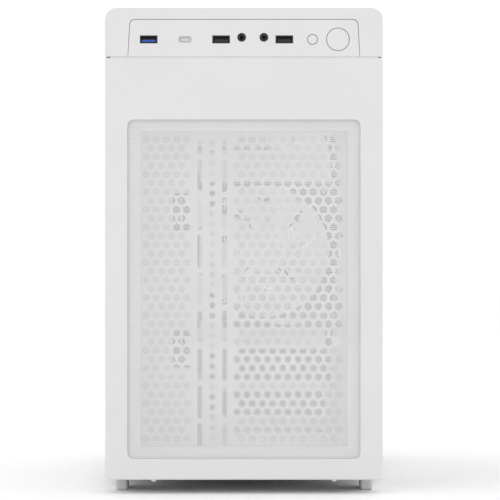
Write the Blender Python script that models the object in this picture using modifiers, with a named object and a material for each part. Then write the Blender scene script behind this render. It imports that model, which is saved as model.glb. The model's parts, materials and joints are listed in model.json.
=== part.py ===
"""Desktop computer tower: sheet steel chassis, moulded front, side panels and the working parts inside.

Sizes below are in millimetres; every helper turns them into metres. The front faces -Y, the glass
side faces +X, and the floor is at Z = 0. Run with: blender --background --python part.py
"""

import math

import bmesh
import bpy
from mathutils import Matrix, Vector

MM = 0.001

# Overall size; the height follows from the power supply and the board that stand on each other
WIDTH = 215.0
DEPTH = 400.0
FOOT_HEIGHT = 11.0
BOARD_SIZE = 244.0
SUPPLY_HEIGHT = 86.0
SHROUD_CLEAR = 5.0  # supply to the shroud's deck
BOARD_HEADROOM = 19.0  # board's upper edge to the top of the body

# Clearances and walls
GAP = 0.3  # between two pieces that touch
SHEET = 1.0  # chassis steel
WALL = 2.0  # moulded front parts
HOLE_SLACK = 0.6  # round a pin in its hole
SEAT_TRIM = 0.02  # keeps the ends of joined solids off each other's faces

# Front assembly
FRONT_DEPTH = 34.0  # front face to the steel front plate
BEZEL_HEIGHT = 37.7
BEZEL_RADIUS = 9.0
SEAM = 0.7
WINDOW_SIDE = 17.3  # outer side face to the mesh window
WINDOW_BOTTOM = 16.3  # above the underside of the body
WINDOW_DROP = 48.7  # seam to the top of the window
WINDOW_RADIUS = 5.0
MESH_THICK = 0.8
MESH_BORDER = 2.6  # mesh and filter frame reach this far past the window
FILTER_DEPTH = 9.0
FILTER_RAIL = 10.0  # width of the rails that show inside the window
FILTER_STRIP = 9.2
CLIP_RADIUS = 2.5
CLIP_INSET = 9.5  # clip post to the outer side face
CLIP_HEIGHTS = (40.0, 170.0, 300.0)
CLIP_REACH = 7.0  # past the front of the steel plate

# Port panel in the top bezel
PANEL_SIDE_LOW = 17.9  # outer side face to the panel, at the seam
PANEL_SIDE_HIGH = 19.4  # and at the top
PANEL_TOP_MARGIN = 9.0
PANEL_RADIUS = 4.0
PANEL_GROOVE = 0.4
PANEL_LIP = 2.0
PANEL_LIP_THICK = 1.2
PANEL_RECESS = 0.2  # bezel's face to the panel's face
PORT_DROP = 24.3  # top of the body to the row of ports
JACK_RAISE = 1.6
USB_A_SIZE = (13.0, 5.6)
USB_C_SIZE = (9.3, 4.25)
JACK_RADIUS = 3.1
JACK_BORE = 1.75
USB_A_PLACES = {"usb_port_left": -73.6, "usb_port_middle": -17.6, "usb_port_right": 31.3}
USB_C_PLACE = -45.5
JACK_PLACES = {"audio_jack_left": -1.7, "audio_jack_right": 15.5}
PORT_LENGTH = 13.5
PORT_RECESS = 0.3  # bezel's face to the ports
CAN_WALL = 0.45
CAN_BACK = 2.5
TONGUE_SIDE = 0.8  # a port's wall to its tongue
TONGUE_SETBACK = 0.8
TONGUE_RISE = 1.1  # a USB-A port's lower side to its tongue
TONGUE_THICK = 0.7  # in a USB-C port
POWER_PLACE = 72.8
POWER_RADIUS = 8.65
POWER_TRAVEL = 1.5
RESET_PLACE = 53.1
RESET_RADIUS = 3.7
RESET_TRAVEL = 1.0
BUTTON_SLACK = 0.4
BUTTON_LENGTH = 11.0
BUTTON_RECESS = 0.1
CAP_LENGTH = 6.0
COLLAR = 1.2  # past the cap
COLLAR_THICK = 1.5
STEM_RADIUS = 2.5
PORT_BOARD_THICK = 1.6
PORT_BOARD_INSETS = (6.0, 4.0)  # the panel's left and right ends to the board's
PORT_BOARD_REACH = (9.0, 11.0)  # below and above the row of ports
SWITCH_HALF = 2.5

# Chassis and panels
PANEL_SPACE = 6.0  # outer side face to the chassis
REAR_SETBACK = 10.0  # outer rear end to the rear plate's inner face
GLASS = 4.0
PANEL_TOP_DROP = 12.5  # top of the body to the top of the side panels
PANEL_BASE_RISE = 1.0
FRAME_BORDER = 16.0
PAN_RISE = 2.0  # underside of the body to the base pan
PAN_FLANGE = 12.0
ROOF_DROP = 2.0  # top of the body to the roof sheet
ROOF_INSET = 1.0  # outer side face to the roof's folded side
TRAY_INSET = 20.0  # chassis side to the motherboard tray
TRAY_WINDOW = 90.0  # side of the cut-out behind the processor
TRAY_SLOT = (30.0, 8.0)  # ends of the cable slot, ahead of the board
CABLE_BAR_SETBACK = 44.5  # board's front edge to the cable bar
CABLE_BAR_WIDTH = 43.0
PASS_THROUGHS = ((82.0, 113.0), (192.0, 224.0))  # lower and upper edge above the underside
PASS_WIDTH = 14.0
PASS_INSET = 23.5  # tray to the pass-through
STANDOFF = 6.0
SCREW_HEAD_RADIUS = 5.5
SCREW_RADIUS = 1.7
SCREW_SHANK = 7.0
SCREW_INSET = 9.5  # screw axis to the outer side face
SCREW_HEIGHTS = (60.0, 310.0)
LIP_WIDTH = 6.5
STUD_INSET = 8.0
STUD_RADIUS = 3.0

# Feet
FOOT_WIDTH = 9.2
FOOT_LENGTH = 36.0
FOOT_INSET = 6.4  # outer side face to the foot
FOOT_END = 36.0  # front and rear end of the body to the foot

# Perforated front plate
SLOT_COLUMNS = (-34.75, -15.25)
SLOT_WIDTH = 4.0
SLOT_LENGTH = 25.0
SLOT_PITCH = 29.7
SLOT_COUNT = 9
PLATE_CENTRE = 147.5  # centre of the hole field above the underside
NOTCH_HALF = 20.0
NOTCH_HEIGHT = 14.0

# Motherboard and what is on it
BOARD_THICK = 1.6
BOARD_RISE = 5.0  # shroud to the board's lower edge
BOARD_BACK = 1.5  # board to the rear plate
IO_WIDTH = 44.4
IO_HEIGHT = 158.7
IO_RISE = 3.0
IO_DEPTH = 22.0
IO_STACK = 30.0
IO_MARGIN = 4.0  # shield's lower and upper edges to the stack
# Port openings: rise above the shield's lower edge, height, distance from the board, width
IO_CUTS = (
    (12.0, 14.0, 3.0, 7.0),
    (12.0, 14.0, 14.0, 7.0),
    (34.0, 16.0, 3.0, 5.5),
    (34.0, 14.0, 14.0, 7.0),
    (58.0, 14.0, 3.0, 7.0),
    (58.0, 14.0, 14.0, 7.0),
    (80.0, 14.0, 3.0, 12.0),
    (102.0, 14.0, 3.0, 7.0),
    (102.0, 14.0, 14.0, 7.0),
    (124.0, 7.0, 4.0, 7.0),
    (136.0, 7.0, 4.0, 7.0),
)
SLOT_BRACKET_PITCH = 20.32
SLOT_BRACKETS = 4
SLOT_RISE = 13.2  # port opening to the first slot's centre
SLOT_OPENING = 14.0
SLOT_EDGE = 4.0
SLOT_REACH = 120.0  # board face to the outer end of a bracket
BRACKET_HALF = 9.2
BRACKET_TAB = 9.0
SOCKET_BACK = 88.0  # processor centre to the board's rear edge
SOCKET_RISE = 75.0  # processor centre to the board's lower edge
COOLER_CLEAR = 25.0  # chassis side to the cooler's top
SOCKET_SIDE = 45.0
SOCKET_RAISE = 6.0
FIN_DEPTH = 50.0
FIN_LENGTH = 108.0
COOLER_PIPE = 3.0
COOLER_BASE = (40.0, 68.0)
COOLER_BASE_THICK = 9.0
PIPE_PLACE = (8.0, 26.0)  # each pipe off the processor's centre
MEMORY_LENGTH = 133.0
MEMORY_HEIGHT = 32.0
MEMORY_THICK = 7.0
MEMORY_PITCH = 12.0
MEMORY_SEAT = 5.0  # board's face to the module
MEMORY_RISE = 9.0  # board's lower edge to the module
LATCH = 4.0
MEMORY_SETBACK = 20.0  # cooler fan to the nearer module
HEADER_RISE = 86.0  # board's lower edge to the power header
HEADER_LENGTH = 52.0
HEADER_RAISE = 9.0
HEADER_EDGE = 1.0
HEADER_WIDTH = 11.0

# Graphics card
CARD_LENGTH = 240.0
CARD_WIDTH = 108.0
CARD_BOARD = 1.6
CARD_SINK = 18.0
CARD_SHROUD = 12.0
CARD_DROP = 3.0  # board below the first slot's centre
CARD_SOCKET = 8.0
CARD_SLOT_ENDS = (140.0, 50.0)  # board's rear edge to the slot's ends
CARD_SLOT_WIDTH = 7.0
CARD_FAN_RADIUS = 42.0
CARD_HUB = 16.0
CARD_PLUG = 11.0  # height of the power plug's socket
CARD_PLUG_DEPTH = 16.0
CARD_PLUG_ENDS = (22.0, 42.0)  # card's front end to the socket's ends
CARD_EDGE = 2.0
SINK_INSETS = (46.0, 8.0)  # card's front end and bracket to the heatsink
STUB_RADIUS = 9.0
STUB_LENGTH = 3.0
STUB_RISE = 1.0  # shroud's lower side to the top of a fan's seat
WELL_SLACK = 2.0
CARD_FAN_PLACES = (62.0, 168.0)  # from the bracket end

# Fans
FAN_SIZE = 120.0
FAN_THICK = 25.0
INTAKE_RIM = 2.0  # the sheet reaches this far in past a fan's bore
FAN_RIM = 2.5  # narrowest part of the frame round its bore
FAN_BLADES = 7
HUB_RADIUS = 20.0
BLADE_THICK = 1.6
STRUT = 4.0
STRUT_SETBACK = 0.2
BLADE_TIP_GAP = 1.5
BLADE_CHORD = 0.4  # of the blade's radius
BLADE_ROOT = 0.8  # of the hub's radius
BLADE_PITCH = math.radians(32.0)
REAR_FAN_SIDE = 5.0  # chassis side to the rear fan
GRILLE_PITCH = 9.4
GRILLE_SLOT = 6.4
GRILLE_SPINE = 2.0
GRILLE_RIM = 1.0

# Power supply and drives
SUPPLY_WIDTH = 150.0
SUPPLY_LENGTH = 140.0
SUPPLY_WALL = 1.2
SUPPLY_RISE = 2.0
SUPPLY_EDGE = 2.5
SHROUD_SETBACK = 40.0  # cable bar to the front edge of the shroud
SHROUD_HOLE = (68.0, -30.0)
SHROUD_HOLE_SIZE = (24.0, 30.0)
VENT_COLUMNS = 12
VENT_WIDTH = 7.0
VENT_SIDE = 12.0
VENT_RISE = 8.0
INLET_LEFT = -56.0
INLET_RISE = 56.0  # underside of the supply to the inlet module
INLET_SIZE = (48.0, 22.0)
INLET_CAVITY = (23.0, 16.0)
INLET_DEPTH = 16.0
INLET_MARGIN = 3.0
INLET_FLANGE = 1.2
INLET_FLANGE_EDGE = 2.0
PIN_PLACES = ((5.0, 4.5), (11.5, 10.5), (18.0, 4.5))  # from the cavity's lower left corner
PIN_HALF = (1.0, 2.0)
PIN_SETBACK = 3.0
ROCKER_SIZE = (12.6, 8.0, 16.0)
ROCKER_TILT = math.radians(8.0)
ROCKER_SLACK = 1.0
ROCKER_PROUD = 1.5
ROCKER_DEEP = 11.0
CAGE_CENTRE = 18.0
CAGE_LENGTH = 140.0
DRIVE_WIDTH = 101.6
DRIVE_LENGTH = 146.0
DRIVE_HEIGHT = 26.0
BAY_PITCH = 30.0

# Cable routes, as points along each cable, their heights above the underside of the body
BOARD_POWER_RADIUS = 4.5
CARD_POWER_RADIUS = 3.5
FRONT_PANEL_RADIUS = 2.0
BOARD_POWER_ROUTE = (
    (-40.0, 49.3, 67.0),
    (-42.0, 10.0, 70.0),
    (-62.0, -20.0, 76.0),
    (-88.0, -42.0, 88.0),
    (-93.0, -62.0, 116.0),
    (-93.0, -76.0, 156.0),
    (-92.0, -82.0, 190.0),
    (-84.0, -79.0, 206.0),
    (-68.0, -75.0, 213.0),
    (-51.0, -69.0, 214.0),
    (-45.0, -58.0, 214.0),
    (-51.0, -50.0, 214.0),
    (-64.4, -49.0, 214.0),
)
CARD_POWER_ROUTE = (
    (-22.0, 49.3, 76.0),
    (-22.0, 42.0, 76.0),
    (-16.0, 32.0, 77.0),
    (10.0, 20.0, 80.0),
    (52.0, -12.0, 82.0),
    (68.0, -28.0, 90.0),
    (72.0, -32.0, 122.0),
    (76.0, -34.0, 182.0),
    (76.0, -34.0, 242.0),
    (72.0, -28.0, 272.0),
    (59.0, -21.0, 281.0),
    (42.8, -19.0, 281.0),
)
FRONT_PANEL_ROUTE = (
    (0.0, -184.0, 338.0),
    (0.0, -174.0, 338.0),
    (0.0, -150.0, 336.0),
    (-20.0, -110.0, 338.0),
    (-48.0, -78.0, 339.0),
    (-57.0, -56.0, 335.0),
    (-64.0, -48.5, 332.0),
    (-73.5, -47.0, 331.0),
)

# Filters
TOP_FILTER_HALF = 62.0
TOP_FILTER_INSETS = (46.0, 40.0)  # front plate and rear plate to the filter's ends
TOP_FILTER_THICK = 1.5
VENT_ROWS = 14
VENT_EDGE = 6.0
VENT_SPINE = 2.5
VENT_OPEN = 0.72  # open part of each row
BOTTOM_FILTER_HALF = 66.0
BOTTOM_FILTER_THICK = 1.4
BOTTOM_FILTER_LENGTH = 150.0

# Places worked out from the sizes above
HALF = WIDTH / 2
WINDOW_HALF = HALF - WINDOW_SIDE
PANEL_HALF_LOW = HALF - PANEL_SIDE_LOW
PANEL_HALF_HIGH = HALF - PANEL_SIDE_HIGH
FRONT = -DEPTH / 2
BACK = DEPTH / 2
UNDER = FOOT_HEIGHT
PAN_Z = UNDER + PAN_RISE
PAN_TOP = PAN_Z + SHEET
SUPPLY_LOW = PAN_TOP + SUPPLY_RISE
SHROUD_Z = SUPPLY_LOW + SUPPLY_HEIGHT + SHROUD_CLEAR + SHEET
BOARD_LOW = SHROUD_Z + BOARD_RISE
BOARD_HIGH = BOARD_LOW + BOARD_SIZE
TOP = BOARD_HIGH + BOARD_HEADROOM
SEAM_Z = TOP - BEZEL_HEIGHT
WINDOW_LOW = UNDER + WINDOW_BOTTOM
WINDOW_HIGH = SEAM_Z - WINDOW_DROP
PORT_Z = TOP - PORT_DROP
PLATE_Y = FRONT + FRONT_DEPTH
REAR_Y = BACK - REAR_SETBACK
SIDE = HALF - PANEL_SPACE
PANEL_LOW = UNDER + PANEL_BASE_RISE
PANEL_HIGH = TOP - PANEL_TOP_DROP
ROOF_Z = TOP - ROOF_DROP
TRAY_X = -SIDE + TRAY_INSET
BOARD_X = TRAY_X + STANDOFF
BOARD_FACE = BOARD_X + BOARD_THICK
BOARD_REAR = REAR_Y - BOARD_BACK
BOARD_FRONT = BOARD_REAR - BOARD_SIZE
CABLE_BAR_Y = BOARD_FRONT - CABLE_BAR_SETBACK
IO_LOW = BOARD_LOW + IO_RISE
IO_HIGH = IO_LOW + IO_HEIGHT
SLOT_FIRST = IO_HIGH + SLOT_RISE
PANEL_REAR = REAR_Y + SHEET + GAP
LIP_REAR = PANEL_REAR + SHEET
TOP_FILTER_ENDS = (PLATE_Y + TOP_FILTER_INSETS[0], REAR_Y - TOP_FILTER_INSETS[1])
FAN_BORE = FAN_SIZE / 2 - FAN_RIM


def clear_scene():
    for obj in list(bpy.data.objects):
        bpy.data.objects.remove(obj, do_unlink=True)


def new_collection(name, hidden=False):
    made = bpy.data.collections.new(name)
    made.hide_render = hidden
    bpy.context.scene.collection.children.link(made)
    return made


clear_scene()
PARTS = new_collection("computer_tower")
CUTTERS = new_collection("cutters", hidden=True)


def finish(name, colour, roughness, metallic=0.0, transmission=0.0):
    made = bpy.data.materials.new(name)
    made.use_nodes = True
    shader = made.node_tree.nodes["Principled BSDF"]
    shader.inputs["Base Color"].default_value = (*colour, 1.0)
    shader.inputs["Roughness"].default_value = roughness
    shader.inputs["Metallic"].default_value = metallic
    shader.inputs["Transmission Weight"].default_value = transmission
    made.diffuse_color = (*colour, 1.0)
    return made


WHITE_PLASTIC = finish("white_plastic", (0.80, 0.80, 0.79), 0.45)
WHITE_STEEL = finish("white_steel", (0.78, 0.78, 0.78), 0.40)
MESH_PAINT = finish("mesh_paint", (0.76, 0.76, 0.76), 0.50)
BLACK_PLASTIC = finish("black_plastic", (0.03, 0.03, 0.03), 0.45)
BLUE_PLASTIC = finish("blue_plastic", (0.03, 0.15, 0.55), 0.40)
RUBBER = finish("rubber", (0.55, 0.55, 0.55), 0.80)
GLASS_CLEAR = finish("glass", (0.85, 0.88, 0.88), 0.03, transmission=1.0)
BARE_METAL = finish("bare_metal", (0.70, 0.70, 0.70), 0.30, metallic=1.0)
BOARD_PAINT = finish("board_paint", (0.03, 0.05, 0.04), 0.50)
BLACK_STEEL = finish("black_steel", (0.05, 0.05, 0.05), 0.40)


def keep(obj, name, paint):
    """Makes the object the node of this name."""
    obj.name = name
    obj.data.name = name
    obj.data.materials.clear()
    obj.data.materials.append(paint)
    PARTS.objects.link(obj)
    return obj


def as_cutter(obj, name):
    obj.name = name
    obj.hide_render = True
    obj.display_type = "WIRE"
    CUTTERS.objects.link(obj)
    return obj


def block(low, high):
    """A box between two corners, its origin at its middle."""
    size = [max(b - a, 0.01) * MM for a, b in zip(low, high)]
    work = bmesh.new()
    bmesh.ops.create_cube(work, size=1.0)
    bmesh.ops.scale(work, vec=size, verts=work.verts)
    data = bpy.data.meshes.new("block")
    work.to_mesh(data)
    work.free()
    obj = bpy.data.objects.new("block", data)
    obj.location = [(a + b) / 2 * MM for a, b in zip(low, high)]
    return obj


AXIS_TURN = {"X": (0.0, math.pi / 2, 0.0), "Y": (-math.pi / 2, 0.0, 0.0), "Z": (0.0, 0.0, 0.0)}


def rod(centre, axis, radius, length, sides=24, end_radius=None):
    """A cylinder, or a cone with end_radius, centred on a point along an axis."""
    work = bmesh.new()
    top = radius if end_radius is None else end_radius
    bmesh.ops.create_cone(
        work, cap_ends=True, segments=sides, radius1=radius * MM, radius2=top * MM, depth=length * MM
    )
    data = bpy.data.meshes.new("rod")
    work.to_mesh(data)
    work.free()
    data.shade_smooth()
    data.set_sharp_from_angle(angle=math.radians(40))
    obj = bpy.data.objects.new("rod", data)
    obj.location = Vector(centre) * MM
    obj.rotation_euler = AXIS_TURN[axis]
    return obj


def prism(points, y_low, y_high):
    """A closed outline of (x, z) points, extruded along Y as a filled 2D curve made into a mesh."""
    curve = bpy.data.curves.new("outline", "CURVE")
    curve.dimensions = "2D"
    curve.fill_mode = "BOTH"
    curve.extrude = (y_high - y_low) / 2 * MM
    spline = curve.splines.new("POLY")
    spline.points.add(len(points) - 1)
    for point, (x, z) in zip(spline.points, points):
        point.co = (x * MM, z * MM, 0.0, 1.0)
    spline.use_cyclic_u = True
    guide = bpy.data.objects.new("outline", curve)
    guide.rotation_euler = (math.pi / 2, 0.0, 0.0)
    guide.location = (0.0, (y_low + y_high) / 2 * MM, 0.0)
    return meshed(guide)


def meshed(guide):
    """The mesh of a curve object, its caps welded, in the curve's place."""
    CUTTERS.objects.link(guide)
    bpy.context.view_layer.update()
    evaluated = guide.evaluated_get(bpy.context.evaluated_depsgraph_get())
    data = bpy.data.meshes.new_from_object(evaluated)
    work = bmesh.new()
    work.from_mesh(data)
    bmesh.ops.remove_doubles(work, verts=work.verts, dist=1e-6)
    bmesh.ops.recalc_face_normals(work, faces=work.faces)
    work.to_mesh(data)
    work.free()
    obj = bpy.data.objects.new("outline", data)
    obj.matrix_world = guide.matrix_world.copy()
    bpy.data.objects.remove(guide, do_unlink=True)
    return obj


def arc(centre_x, centre_z, radius, start, stop, steps):
    """Points along a circle, the angles in degrees counted from +X towards +Z."""
    turns = [math.radians(start + (stop - start) * i / steps) for i in range(steps + 1)]
    return [(centre_x + radius * math.cos(t), centre_z + radius * math.sin(t)) for t in turns]


def rounded(x_low, x_high, z_low, z_high, radius, steps=4):
    """The outline of a rectangle with four round corners."""
    x0, x1 = x_low + radius, x_high - radius
    z0, z1 = z_low + radius, z_high - radius
    return (
        arc(x1, z1, radius, 0, 90, steps)
        + arc(x0, z1, radius, 90, 180, steps)
        + arc(x0, z0, radius, 180, 270, steps)
        + arc(x1, z0, radius, 270, 360, steps)
    )


def combine(obj, others, operation):
    """Adds one Boolean for each helper, which stays hidden in the cutters' collection."""
    for number, other in enumerate(others):
        as_cutter(other, f"{obj.name}_{operation.lower()}_{number}")
        modifier = obj.modifiers.new(f"{operation.lower()}_{number}", "BOOLEAN")
        modifier.operation = operation
        modifier.object = other
    return obj


def cut(obj, *others):
    return combine(obj, others, "DIFFERENCE")


def add(obj, *others):
    return combine(obj, others, "UNION")


def soften(obj, width, segments=1):
    """Bevels the edges that the mesh has before any Boolean."""
    modifier = obj.modifiers.new("soften", "BEVEL")
    modifier.width = width * MM
    modifier.segments = segments
    modifier.limit_method = "ANGLE"
    return obj


def cable(name, points, radius, paint):
    """A round cable on a smooth curve through hand-chosen points."""
    steps = 4
    curve = bpy.data.curves.new(name, "CURVE")
    curve.dimensions = "3D"
    curve.bevel_depth = radius * MM
    curve.bevel_resolution = 1
    curve.use_fill_caps = True
    route = [Vector(p) + Vector((0.0, 0.0, UNDER)) for p in points]
    ends = [2 * route[0] - route[1], *route, 2 * route[-1] - route[-2]]
    smooth = [route[0]]
    for a, b, c, d in zip(ends, ends[1:], ends[2:], ends[3:]):
        for i in range(1, steps + 1):
            t = i / steps
            bend = (2 * a - 5 * b + 4 * c - d) * t**2 + (3 * b - a - 3 * c + d) * t**3
            smooth.append(0.5 * (2 * b + (c - a) * t + bend))
    spline = curve.splines.new("POLY")
    spline.points.add(len(smooth) - 1)
    for point, place in zip(spline.points, smooth):
        point.co = (*(place * MM), 1.0)
    return keep(bpy.data.objects.new(name, curve), name, paint)


def fan_frame(name, centre, axis, facing, size, thick, bore, paint):
    """A square fan frame whose struts and motor seat are on the side away from facing."""
    x, y, z = centre
    half = size / 2
    turn = "XYZ".index(axis)
    low = [x - half, y - half, z - half]
    high = [x + half, y + half, z + half]
    low[turn], high[turn] = centre[turn] - thick / 2, centre[turn] + thick / 2
    frame = keep(block(low, high), name, paint)
    cut(frame, rod(centre, axis, bore, thick + 2 * SHEET, sides=40))
    back = centre[turn] - facing * (thick / 2 - STRUT / 2)
    seat = list(centre)
    seat[turn] = back
    pieces = [rod(seat, axis, HUB_RADIUS, STRUT, sides=24)]
    for across in range(3):
        if across == turn:
            continue
        bar_low = [value - STRUT / 2 for value in seat]
        bar_high = [value + STRUT / 2 for value in seat]
        bar_low[across] = centre[across] - bore - STRUT / 2
        bar_high[across] = centre[across] + bore + STRUT / 2
        bar_low[turn] = back - STRUT / 2 + STRUT_SETBACK
        bar_high[turn] = back + STRUT / 2 - STRUT_SETBACK
        pieces.append(block(bar_low, bar_high))
    add(frame, *pieces)
    return frame


def fan_rotor(name, centre, axis, radius, hub, depth, paint):
    """A hub with flat pitched blades, its origin on the axis that it turns about."""
    rotor = keep(rod(centre, axis, hub, depth, sides=24), name, paint)
    bpy.context.view_layer.update()
    chord = radius * BLADE_CHORD
    blades = []
    for number in range(FAN_BLADES):
        low = (hub * BLADE_ROOT, -chord / 2, -BLADE_THICK / 2)
        blade = block(low, (radius, chord / 2, BLADE_THICK / 2))
        turned = Matrix.Rotation(2 * math.pi * number / FAN_BLADES, 4, "Z")
        shifted = Matrix.Translation(blade.location)
        blade.matrix_world = rotor.matrix_world @ turned @ shifted @ Matrix.Rotation(BLADE_PITCH, 4, "X")
        blades.append(blade)
    add(rotor, *blades)
    return rotor


def front_shell():
    """The moulded frame round the mesh window, with clip posts that reach through the front plate."""
    back = PLATE_Y - GAP * 2
    top = SEAM_Z - SEAM
    shell = keep(block((-HALF, FRONT, UNDER), (HALF, back, top)), "front_shell", WHITE_PLASTIC)
    soften(shell, 1.2, segments=2)
    hollow = block((-HALF + WALL, FRONT + WALL, UNDER + WALL), (HALF - WALL, back + WALL, top - WALL))
    window = rounded(-WINDOW_HALF, WINDOW_HALF, WINDOW_LOW, WINDOW_HIGH, WINDOW_RADIUS)
    cut(shell, hollow, prism(window, FRONT - WALL, FRONT + 2 * WALL))
    tip = PLATE_Y + CLIP_REACH
    root = FRONT + WALL / 2
    x, y = HALF - CLIP_INSET, (root + tip) / 2
    posts = [
        rod((side * x, y, UNDER + height), "Y", CLIP_RADIUS, tip - root, sides=12)
        for side in (-1, 1)
        for height in CLIP_HEIGHTS
    ]
    add(shell, *posts)


def front_mesh_and_filter():
    """The fine mesh against the back of the shell's face, and the filter frame that holds it there."""
    reach = WINDOW_HALF + MESH_BORDER
    low = WINDOW_LOW - MESH_BORDER
    high = WINDOW_HIGH + MESH_BORDER
    face = FRONT + WALL + GAP
    keep(block((-reach, face, low), (reach, face + MESH_THICK, high)), "front_mesh", MESH_PAINT)
    start = face + MESH_THICK + GAP
    stop = start + FILTER_DEPTH
    frame = keep(block((-reach, start, low), (reach, stop, high)), "filter_frame", WHITE_PLASTIC)
    half = WINDOW_HALF - FILTER_RAIL
    opening_low = (-half, start - SHEET, WINDOW_LOW + FILTER_STRIP)
    cut(frame, block(opening_low, (half, stop + SHEET, WINDOW_HIGH - FILTER_STRIP)))


def panel_outline(grow):
    """The port panel's outline: a little narrower at the top, where its two corners are round."""
    low = PANEL_HALF_LOW + grow
    high = PANEL_HALF_HIGH + grow
    top = TOP - PANEL_TOP_MARGIN + grow
    centre = high - PANEL_RADIUS
    right = arc(centre, top - PANEL_RADIUS, PANEL_RADIUS, 0, 90, 4)
    left = arc(-centre, top - PANEL_RADIUS, PANEL_RADIUS, 90, 180, 4)
    return [(low, SEAM_Z)] + right + left + [(-low, SEAM_Z)]


def bezel_outline(inset):
    """The body's outline across the top, its upper corners round."""
    side = HALF - inset
    top = TOP - inset
    radius = BEZEL_RADIUS - inset
    right = arc(side - radius, top - radius, radius, 0, 90, 6)
    left = arc(radius - side, top - radius, radius, 90, 180, 6)
    return [(side, SEAM_Z)] + right + left + [(-side, SEAM_Z)]


def top_bezel():
    bezel = keep(prism(bezel_outline(0.0), FRONT, PLATE_Y - GAP), "top_bezel", WHITE_PLASTIC)
    hollow = prism([(x, z - SHEET) for x, z in bezel_outline(WALL)], FRONT + WALL, PLATE_Y + WALL)
    lower = [(x, z if z > SEAM_Z else z - WALL) for x, z in panel_outline(PANEL_GROOVE)]
    cut(bezel, hollow, prism(lower, FRONT - WALL, FRONT + 2 * WALL))


def port_places():
    """Each hole of the port panel: the port's name, its centre across, its kind."""
    found = [(name, x, "usb_a") for name, x in USB_A_PLACES.items()]
    found.append(("usb_port_small", USB_C_PLACE, "usb_c"))
    found += [(name, x, "jack") for name, x in JACK_PLACES.items()]
    return found


def port_panel():
    """The inset panel, its lip behind the bezel's face, and a hole for each port and button."""
    behind = FRONT + WALL + GAP
    panel = keep(prism(panel_outline(0.0), FRONT + PANEL_RECESS, behind + SHEET), "port_panel", WHITE_PLASTIC)
    lip_outline = [(x, z if z > SEAM_Z else z + GAP) for x, z in panel_outline(PANEL_LIP)]
    add(panel, prism(lip_outline, behind, behind + PANEL_LIP_THICK))
    z = PORT_Z
    depth = 3 * WALL
    holes = []
    for _, x, kind in port_places():
        if kind == "jack":
            holes.append(rod((x, FRONT, z + JACK_RAISE), "Y", JACK_RADIUS + GAP, 2 * depth, sides=24))
            continue
        wide, tall = USB_A_SIZE if kind == "usb_a" else USB_C_SIZE
        reach, rise = wide / 2 + GAP, tall / 2 + GAP
        holes.append(block((x - reach, FRONT - depth, z - rise), (x + reach, FRONT + depth, z + rise)))
    for x, radius in ((POWER_PLACE, POWER_RADIUS), (RESET_PLACE, RESET_RADIUS)):
        holes.append(rod((x, FRONT, z), "Y", radius + BUTTON_SLACK, 2 * depth, sides=40))
    cut(panel, *holes)


def ports():
    """The ports, each a can on the port board that reaches the panel's face."""
    z = PORT_Z
    face = FRONT + PORT_RECESS
    back = face + PORT_LENGTH
    for name, x, kind in port_places():
        if kind == "jack":
            middle = (x, (face + back) / 2, z + JACK_RAISE)
            jack = keep(rod(middle, "Y", JACK_RADIUS, PORT_LENGTH, sides=24), name, BLACK_PLASTIC)
            cut(jack, rod((x, face, z + JACK_RAISE), "Y", JACK_BORE, PORT_LENGTH, sides=16))
            continue
        wide, tall = USB_A_SIZE if kind == "usb_a" else USB_C_SIZE
        paint = BLUE_PLASTIC if name == "usb_port_left" else BLACK_PLASTIC
        can = keep(block((x - wide / 2, face, z - tall / 2), (x + wide / 2, back, z + tall / 2)), name, paint)
        half, rise = wide / 2 - CAN_WALL, tall / 2 - CAN_WALL
        cut(can, block((x - half, face - WALL, z - rise), (x + half, back - CAN_BACK, z + rise)))
        reach = half - TONGUE_SIDE
        low, high = -TONGUE_THICK / 2, TONGUE_THICK / 2
        if kind == "usb_a":
            low, high = TONGUE_RISE - tall / 2, -CAN_WALL / 4
        start, stop = face + TONGUE_SETBACK, back - CAN_BACK + CAN_WALL
        add(can, block((x - reach, start, z + low), (x + reach, stop, z + high)))


def port_board():
    """The circuit board behind the ports, with the two switches that the buttons press."""
    front = FRONT + PORT_RECESS + PORT_LENGTH + GAP
    z = PORT_Z
    left, right = PORT_BOARD_INSETS
    below, above = PORT_BOARD_REACH
    low = (-PANEL_HALF_HIGH + left, front, z - below)
    high = (PANEL_HALF_HIGH - right, front + PORT_BOARD_THICK, z + above)
    board = keep(block(low, high), "port_board", BOARD_PAINT)
    switches = []
    for x, travel in ((POWER_PLACE, POWER_TRAVEL), (RESET_PLACE, RESET_TRAVEL)):
        seat = FRONT + BUTTON_RECESS + BUTTON_LENGTH + travel + GAP
        switch_low = (x - SWITCH_HALF, seat, z - SWITCH_HALF)
        switches.append(block(switch_low, (x + SWITCH_HALF, front + PORT_BOARD_THICK / 2, z + SWITCH_HALF)))
    add(board, *switches)


def buttons():
    """Each button is a cap with a thinner stem behind it, and a collar that keeps it in the panel."""
    z = PORT_Z
    face = FRONT + BUTTON_RECESS
    collar_middle = FRONT + WALL + GAP + PANEL_LIP_THICK + GAP + COLLAR_THICK / 2
    places = {"power_button": (POWER_PLACE, POWER_RADIUS), "reset_button": (RESET_PLACE, RESET_RADIUS)}
    for name, (x, radius) in places.items():
        cap = rod((x, face + CAP_LENGTH / 2, z), "Y", radius, CAP_LENGTH, sides=36)
        button = keep(cap, name, WHITE_PLASTIC)
        soften(button, 0.4)
        collar = rod((x, collar_middle, z), "Y", radius + COLLAR, COLLAR_THICK, sides=32)
        stem = rod((x, face + BUTTON_LENGTH / 2, z), "Y", STEM_RADIUS, BUTTON_LENGTH - SEAT_TRIM, sides=16)
        add(button, collar, stem)


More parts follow.
